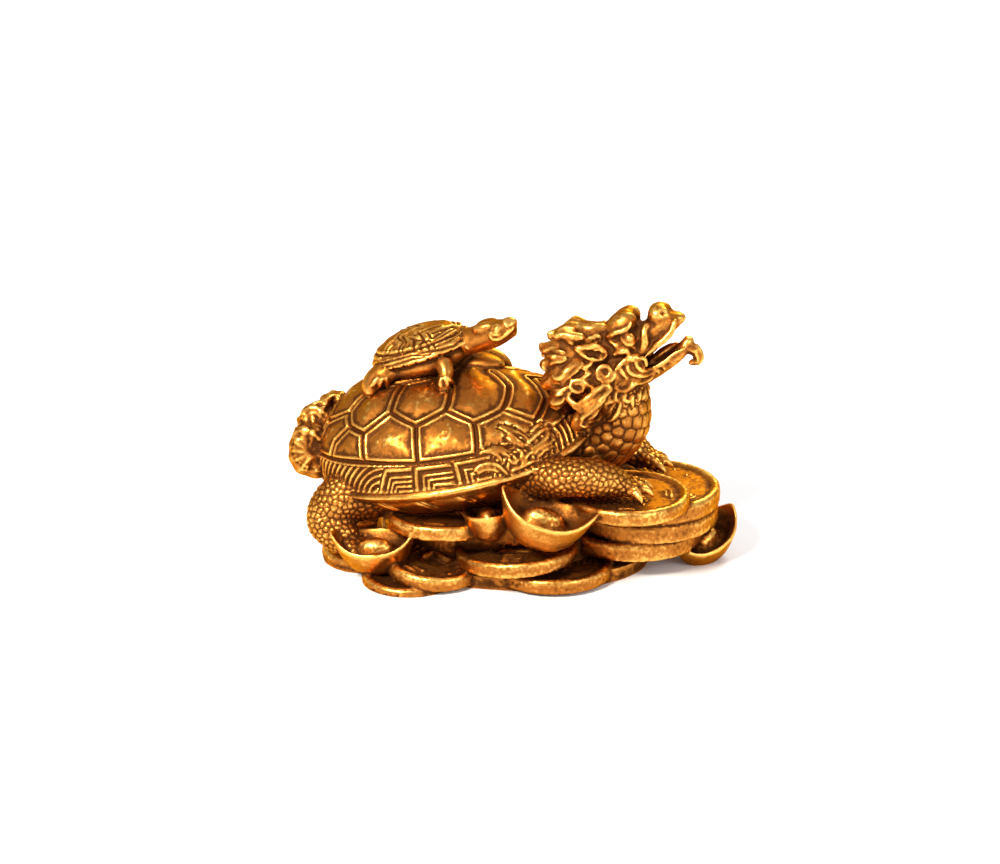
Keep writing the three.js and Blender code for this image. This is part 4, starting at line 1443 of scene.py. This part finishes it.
# The coins' carving, from the middle outwards in millimetres
HOLE_DEPTH, HOLE_EDGE, FRAME_LINE = 1.1, (2.6, 2.2), 3.1
STROKES_FROM, STROKES_HALF, STROKE_SPACING = 4.6, 2.3, 1.3


def coin_carving(points, rows):
    """A raised frame round a square hole, and rows of short strokes beside its sides."""
    grit = 0.07 * grain(points, 0.5, 6)
    carved = grit
    for radius, thickness, place in rows:
        u, v, w = within(points, place).T
        inner = radius - COIN_RIM - 0.4
        face = (np.hypot(u, v) < inner) & (np.abs(w - (thickness - COIN_RECESS)) < 0.5)
        far = np.maximum(np.abs(u), np.abs(v))
        hole = -HOLE_DEPTH * smooth_step(*HOLE_EDGE, far)
        frame_line = 0.5 * ridge(far - FRAME_LINE, 0.6)
        along = np.minimum(np.abs(u), np.abs(v))
        block = (far > STROKES_FROM) & (far < inner * 0.86) & (along < STROKES_HALF)
        strokes = ridge((far - STROKES_FROM) % STROKE_SPACING - STROKE_SPACING / 2, 0.4)
        row = np.floor((far - STROKES_FROM) / STROKE_SPACING)
        broken = grain(np.stack([row, u * 0.35, v * 0.35], axis=1), 1.0, 7) > -0.4
        carved = np.where(face, hole + frame_line + 0.42 * strokes * block * broken + grit, carved)
    return carved


def ingot_carving(points):
    """The grit on the dome in each ingot's bowl."""
    carved = np.zeros(len(points))
    for size, _, at, turn in INGOTS:
        u, v, w = within(points, Matrix.Translation(at) @ turn_of(*turn)).T
        reach = np.hypot(u / INGOT_LENGTH, v / INGOT_WIDTH) * 2 / size
        dome = (reach < 0.5) & (w > 0.6 * INGOT_HEIGHT * size)
        carved = np.where(dome, 0.09 * grain(points, 0.45, 5), carved)
    return carved


def carving(points, kind, context):
    """How far each point of the skin is raised."""
    sizes = context.scene.carving_sizes
    raised = 0.035 * grain(points, 0.7, 1) + 0.05 * grain(points, 2.2, 2)

    def carve(which, make):
        chosen = np.nonzero(kind == which)[0]
        if len(chosen):
            raised[chosen] += make(points[chosen])

    carve(SHELL, shell_carving)
    carve(PLASTRON, plastron_carving)
    carve(SKIN, lambda some: cobbles(some, scattered(some, sizes.pebble, 11), 0.42))
    carve(NECK, lambda some: cobbles(some, neck_seeds(some, sizes.scale), 0.5))
    carve(FAN, fan_carving)
    carve(LOCKS, lambda some: 0.06 * grain(some, 0.6, 8))
    carve(FACE, lambda some: 0.06 * grain(some, 0.5, 4))
    carve(BABY_SHELL, baby_carving)
    carve(COIN, lambda some: coin_carving(some, coins_of(context.scene.heap_sizes)))
    carve(INGOT, ingot_carving)
    return raised


# The wear of the gold finish, and painted shade in gaps and under things, as numbers on the finished mesh

# How much more gold than wash a kind of form carries. The plastron's share is partly painted light.
GILDING_AND_LIGHT = {
    SHELL: -0.15,
    # Painted light: the plastron's band under the rim is lifted towards gold, as if lit, though it lies in
    # shade.
    PLASTRON: 0.5,
    SKIN: -0.15,
    CLAW: 0.25,
    NECK: -0.1,
    FACE: 0.05,
    LOCKS: 0.02,
    FAN: 0.1,
    BABY_SKIN: 0.1,
    COIN: 0.12,
    INGOT: 0.35,
    GROUND: -0.2,
}


RUBBED_MIDDLES = 0.35  # more gold in the middles of the shell's plates
EDGE_ROUNDS, FORM_ROUNDS = 7, 40  # how widely a place is compared with what is round it
CELL = 0.7  # side of the cells that tell open places from gaps
MARGIN = 10  # cells
SOFT_VOXEL, SOFT_EASING = 0.45, 4  # the soft forms' skin, and how often it is evened out
SKIN_EASING = 2
GILDING_EASING = 4
UNDERSIDE = 0.12  # what is lower than this is flat


def filled_cells(mesh):
    """A grid of CELL sized cells, 1 inside the mesh and under the table top, and its corner."""
    whole = bmesh.new()
    whole.from_mesh(mesh)
    tree = BVHTree.FromBMesh(whole)
    whole.free()
    places = places_of(mesh)
    corner = np.append(places.min(axis=0)[:2], 0) - MARGIN * CELL
    counts = np.ceil((places.max(axis=0) - corner) / CELL).astype(int) + MARGIN
    cells = np.zeros(counts, np.float32)
    cells[:, :, :MARGIN] = 1
    up = Vector((0, 0, 1))
    for i in range(counts[0]):
        for j in range(counts[1]):
            start = Vector((corner[0] + (i + 0.5) * CELL, corner[1] + (j + 0.5) * CELL, -1))
            crossings = []
            while True:
                found = tree.ray_cast(start, up)[0]
                if found is None:
                    break
                crossings.append((found.z - corner[2]) / CELL)
                start = found + up * 1e-3
            for low, high in zip(crossings[::2], crossings[1::2]):
                cells[i, j, round(low) : round(high)] = 1
    return cells, corner


def blurred(cells, reach):
    """Cells evened out twice over reach cells to each side."""
    for _ in range(2):
        for axis in range(3):
            margins = [(reach + 1, reach) if n == axis else (0, 0) for n in range(3)]
            padded = np.pad(cells, margins, mode="edge")
            sums = np.cumsum(padded, axis=axis, dtype=np.float64)
            width = 2 * reach + 1
            high = np.take(sums, range(width, sums.shape[axis]), axis=axis)
            low = np.take(sums, range(0, sums.shape[axis] - width), axis=axis)
            cells = (high - low) / width
    return cells


def sampled(cells, corner, points):
    """The grid's value at points, evened out between cells."""
    scaled = np.clip((points - corner) / CELL - 0.5, 0, np.array(cells.shape) - 1.001)
    low = scaled.astype(int)
    return between_cells(cells, low, scaled - low)


# Painted shade: where this is low the finish turns towards umber, in gaps, under things and between parts,
# together with the dark wash that collects there.
def openness(mesh, places, normals):
    """How little solid stands round each place: 1 on an open face, 0 deep in a gap."""
    cells, corner = filled_cells(mesh)
    near = sampled(blurred(cells, 1), corner, places + 0.9 * normals)
    far = sampled(blurred(cells, 4), corner, places + 2.6 * normals)
    return 1 - np.clip(0.8 * near + 1.1 * far, 0, 1)


def put_number(mesh, name, values):
    field = mesh.attributes.new(name, "FLOAT", "POINT")
    field.data.foreach_set("value", values.astype(np.float32))


class CASTING_OT_skin(bpy.types.Operator):
    """One skin over all forms, carved and gilded"""

    bl_idname = "casting.skin"
    bl_label = "Skin, carving and gilding"

    def execute(self, context):
        sizes = context.scene.carving_sizes
        trees = forms_tree(), forms_tree("tail")
        work, places, kind = self.skin_over_forms(context, sizes.skin)
        places = self.carved(context, work.data, places, kind, *trees)
        self.gild(work, places, kind)
        share = sizes.triangles / (2 * len(work.data.polygons))
        settings = {"decimate_type": "COLLAPSE", "ratio": share, "use_collapse_triangulate": True}
        finished = applied(work, "DECIMATE", **settings)
        for form in [o for o in bpy.data.objects if o.name.startswith(("soft", "crisp", "work"))]:
            bpy.data.objects.remove(form)
        put_places(finished, places_of(finished) * MM)
        finished.shade_smooth()
        casting = bpy.data.objects.new("gilded_casting", finished)
        context.scene.collection.objects.link(casting)
        casting.data.materials.append(antique_gold(context.scene.finish_colours))
        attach(casting, "root")
        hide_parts("dragon_turtle")
        return {"FINISHED"}

    def skin_over_forms(self, context, voxel):
        """A skin over the eased soft forms and the crisp ones, its places, and the form under each."""
        soft, crisp = joined_forms("soft"), joined_forms("crisp")
        marks = np.concatenate([places_of(soft), places_of(crisp)])
        kinds = np.concatenate([kinds_of(soft), kinds_of(crisp)])
        work = bpy.data.objects.new("work", soft)
        context.scene.collection.objects.link(work)
        work.data = applied(work, "REMESH", mode="VOXEL", voxel_size=SOFT_VOXEL)
        put_places(work.data, spread(places_of(work.data), edges_of(work.data), SOFT_EASING))
        all_forms = bmesh.new()
        all_forms.from_mesh(work.data)
        all_forms.from_mesh(crisp)
        all_forms.to_mesh(work.data)
        all_forms.free()
        work.data = applied(work, "REMESH", mode="VOXEL", voxel_size=voxel)
        outer_skin(work.data)
        places = spread(places_of(work.data), edges_of(work.data), SKIN_EASING)
        put_places(work.data, places)
        return work, places, kinds[nearest(tree_of(marks), places)]

    def carved(self, context, mesh, places, kind, surface, tail):
        """Raises and cuts the skin, flattens its underside, and gives its new places."""
        raised = carving(places, kind, context)
        raised += scoops(places, surface, SCOOPS)
        raised += scoops(places, tail, TAIL_SCOOPS)
        plates = np.nonzero(kind == BABY_SHELL)[0]
        ways = [laid(surface, pixels) for pixels in BABY_LINES]
        ways += [[across(BABY) @ place for place in way] for way in ways]
        raised[plates] += grooves(places[plates], ways, *BABY_GROOVE)
        places = places + normals_of(mesh) * raised[:, None]
        places[:, 2] = np.where(places[:, 2] < UNDERSIDE, 0, places[:, 2])
        put_places(mesh, places)
        return places

    def gild(self, work, places, kind):
        """Leaves on each vertex what the finish reads: edge, form, open sky and gold share. Open sky paints
        shade into gaps and undersides, and the gold share paints light onto the plastron.
        """
        mesh = work.data
        normals, edges = normals_of(mesh), edges_of(mesh)
        coarse = applied(work, "REMESH", mode="VOXEL", voxel_size=CELL)
        sky = openness(coarse, places, normals)
        for name, rounds in (("edge", EDGE_ROUNDS), ("form", FORM_ROUNDS)):
            stands_out = np.einsum("ij,ij->i", places - spread(places, edges, rounds), normals)
            put_number(mesh, name, stands_out)
        # Painted shade: open_sky is low where solid stands round a place, so gaps and undersides turn towards
        # umber, partly the wash that collects there.
        put_number(mesh, "open_sky", sky)
        bias = np.array([GILDING_AND_LIGHT.get(n, 0) for n in range(GROUND + 1)])[kind]
        shell = np.nonzero(kind == SHELL)[0]
        bias[shell] += RUBBED_MIDDLES * plate_middles(places[shell])
        put_number(mesh, "gilding", spread(bias, edges, GILDING_EASING))


# The finish


def antique_gold(colours):
    gold = bpy.data.materials.new("antique gold")
    gold.use_nodes = True
    tree = gold.node_tree
    shader = tree.nodes["Principled BSDF"]

    def node(kind, **values):
        made = tree.nodes.new(kind)
        for name, value in values.items():
            if name in made.inputs:
                made.inputs[name].default_value = value
            else:
                setattr(made, name, value)
        return made

    def number(name):
        return node("ShaderNodeAttribute", attribute_name=name).outputs["Fac"]

    def mapped(value, low, high, out_low=0.0, out_high=1.0):
        made = node("ShaderNodeMapRange", interpolation_type="SMOOTHSTEP")
        tree.links.new(value, made.inputs["Value"])
        made.inputs["From Min"].default_value = low
        made.inputs["From Max"].default_value = high
        made.inputs["To Min"].default_value = out_low
        made.inputs["To Max"].default_value = out_high
        return made.outputs["Result"]

    def maths(operation, first, second, clamp=False):
        made = node("ShaderNodeMath", operation=operation, use_clamp=clamp)
        for socket, value in zip(made.inputs, (first, second)):
            if isinstance(value, (int, float)):
                socket.default_value = value
            else:
                tree.links.new(value, socket)
        return made.outputs["Value"]

    def mixed(share, first, second):
        made = node("ShaderNodeMix", data_type="RGBA")
        tree.links.new(share, made.inputs["Factor"])
        for socket, value in zip((made.inputs[6], made.inputs[7]), (first, second)):
            if isinstance(value, tuple):
                socket.default_value = value
            else:
                tree.links.new(value, socket)
        return made.outputs[2]

    place = node("ShaderNodeTexCoord").outputs["Object"]

    def noise(size, detail=4.0, roughness=0.6):
        made = node("ShaderNodeTexNoise", Scale=1 / (size * MM), Detail=detail, Roughness=roughness)
        tree.links.new(place, made.inputs["Vector"])
        return made.outputs["Fac"]

    edge, form, sky = number("edge"), number("form"), number("open_sky")
    blotch = mapped(noise(5.0), 0.35, 0.7, -0.25, 0.25)
    speck = mapped(noise(0.5, 6.0, 0.7), 0.35, 0.7, -0.2, 0.2)
    raised = maths("ADD", mapped(edge, -0.05, 0.08, -0.55, 0.5), mapped(form, -0.25, 0.3, -0.4, 0.4))
    # Painted shade: deep in gaps and under things the colour goes towards umber, partly the dark wash that
    # collects there.
    gap_shade_and_wash = mapped(sky, 0.0, 0.8, -0.5, 0.2)
    gilded_and_shaded = maths("ADD", gap_shade_and_wash, number("gilding"))
    level = maths("ADD", maths("ADD", raised, gilded_and_shaded), maths("ADD", blotch, speck))
    # Umber here is the wash in the recesses and the painted shade in gaps; rubbed gold is wear on raised
    # places.
    washed_and_shaded = mixed(mapped(level, -0.9, 0.15), (*colours.umber, 1), (*colours.gold, 1))
    gilt = mixed(mapped(level, 0.2, 1.3), washed_and_shaded, (*colours.rubbed, 1))
    tree.links.new(gilt, shader.inputs["Base Color"])
    tree.links.new(mapped(level, -0.7, 0.6, 0.62, 0.3), shader.inputs["Roughness"])
    tree.links.new(mapped(level, -0.8, 0.0, 0.85, 1.0), shader.inputs["Metallic"])
    shader.inputs["Specular Tint"].default_value = (1.0, 0.6, 0.28, 1)
    bump = node("ShaderNodeBump", Strength=0.35, Distance=0.12 * MM)
    pits = maths("ADD", noise(0.35, 5.0, 0.65), maths("MULTIPLY", noise(1.3, 3.0), 0.8))
    tree.links.new(pits, bump.inputs["Height"])
    tree.links.new(bump.outputs["Normal"], shader.inputs["Normal"])
    return gold


# The stage


class CASTING_OT_stage(bpy.types.Operator):
    """Floor, camera and soft lights"""

    bl_idname = "casting.stage"
    bl_label = "Stage"

    def execute(self, context):
        floor = bmesh.new()
        bmesh.ops.create_grid(floor, x_segments=1, y_segments=1, size=3)
        mesh = bpy.data.meshes.new("floor")
        floor.to_mesh(mesh)
        floor.free()
        ground = bpy.data.objects.new("floor", mesh)
        context.scene.collection.objects.link(ground)
        pale = bpy.data.materials.new("pale floor")
        pale.use_nodes = True
        pale.node_tree.nodes["Principled BSDF"].inputs["Base Color"].default_value = (0.9, 0.9, 0.9, 1)
        pale.node_tree.nodes["Principled BSDF"].inputs["Roughness"].default_value = 0.9
        mesh.materials.append(pale)

        aim = CAMERA_AIM * MM
        lens = bpy.data.cameras.new("camera")
        lens.lens = LENS
        lens.sensor_width = SENSOR
        lens.clip_start = 0.01
        camera = bpy.data.objects.new("camera", lens)
        camera.location = EYE * MM
        camera.rotation_euler = BACK.to_track_quat("Z", "Y").to_euler()
        context.scene.collection.objects.link(camera)
        context.scene.camera = camera

        def light(name, place, size, power, colour=(1, 1, 1)):
            lamp = bpy.data.lights.new(name, "AREA")
            lamp.shape = "DISK"
            lamp.size = size
            lamp.energy = power
            lamp.color = colour
            thing = bpy.data.objects.new(name, lamp)
            thing.location = place
            thing.rotation_euler = (Vector(place) - aim).to_track_quat("Z", "Y").to_euler()
            context.scene.collection.objects.link(thing)

        light("key", (-0.22, -0.5, 0.5), 0.16, 8, (1, 0.95, 0.85))
        light("fill", (0.6, -0.4, 0.35), 0.4, 2)
        light("rim", (0.1, 0.6, 0.5), 0.4, 3)
        world = bpy.data.worlds.new("studio")
        world.use_nodes = True
        world.node_tree.nodes["Background"].inputs["Color"].default_value = (1, 1, 1, 1)
        world.node_tree.nodes["Background"].inputs["Strength"].default_value = 0.65
        context.scene.world = world
        context.scene.view_settings.view_transform = "Standard"
        return {"FINISHED"}


class CASTING_PT_panel(bpy.types.Panel):
    """Steps that make the casting"""

    bl_idname = "CASTING_PT_panel"
    bl_label = "Dragon turtle"
    bl_space_type = "VIEW_3D"
    bl_region_type = "UI"
    bl_category = "Dragon Turtle"

    def draw(self, context):
        for step in STEPS:
            self.layout.operator(step.bl_idname)


STEPS = [
    CASTING_OT_heap,
    CASTING_OT_turtle,
    CASTING_OT_tail,
    CASTING_OT_head,
    CASTING_OT_mane,
    CASTING_OT_baby,
    CASTING_OT_relief,
    CASTING_OT_skin,
    CASTING_OT_stage,
]
GROUPS = {"heap_sizes": HeapSizes, "carving_sizes": CarvingSizes, "finish_colours": FinishColours}


def register():
    for name, group in GROUPS.items():
        bpy.utils.register_class(group)
        setattr(bpy.types.Scene, name, bpy.props.PointerProperty(type=group))
    for step in STEPS:
        bpy.utils.register_class(step)
    bpy.utils.register_class(CASTING_PT_panel)


def unregister():
    bpy.utils.unregister_class(CASTING_PT_panel)
    for step in reversed(STEPS):
        bpy.utils.unregister_class(step)
    for name, group in GROUPS.items():
        delattr(bpy.types.Scene, name)
        bpy.utils.unregister_class(group)


def main():
    register()
    bpy.ops.casting.heap()
    bpy.ops.casting.turtle()
    bpy.ops.casting.tail()
    bpy.ops.casting.head()
    bpy.ops.casting.mane()
    bpy.ops.casting.baby()
    bpy.ops.casting.relief()
    bpy.ops.casting.skin()
    bpy.ops.casting.stage()


if __name__ == "__main__":
    main()
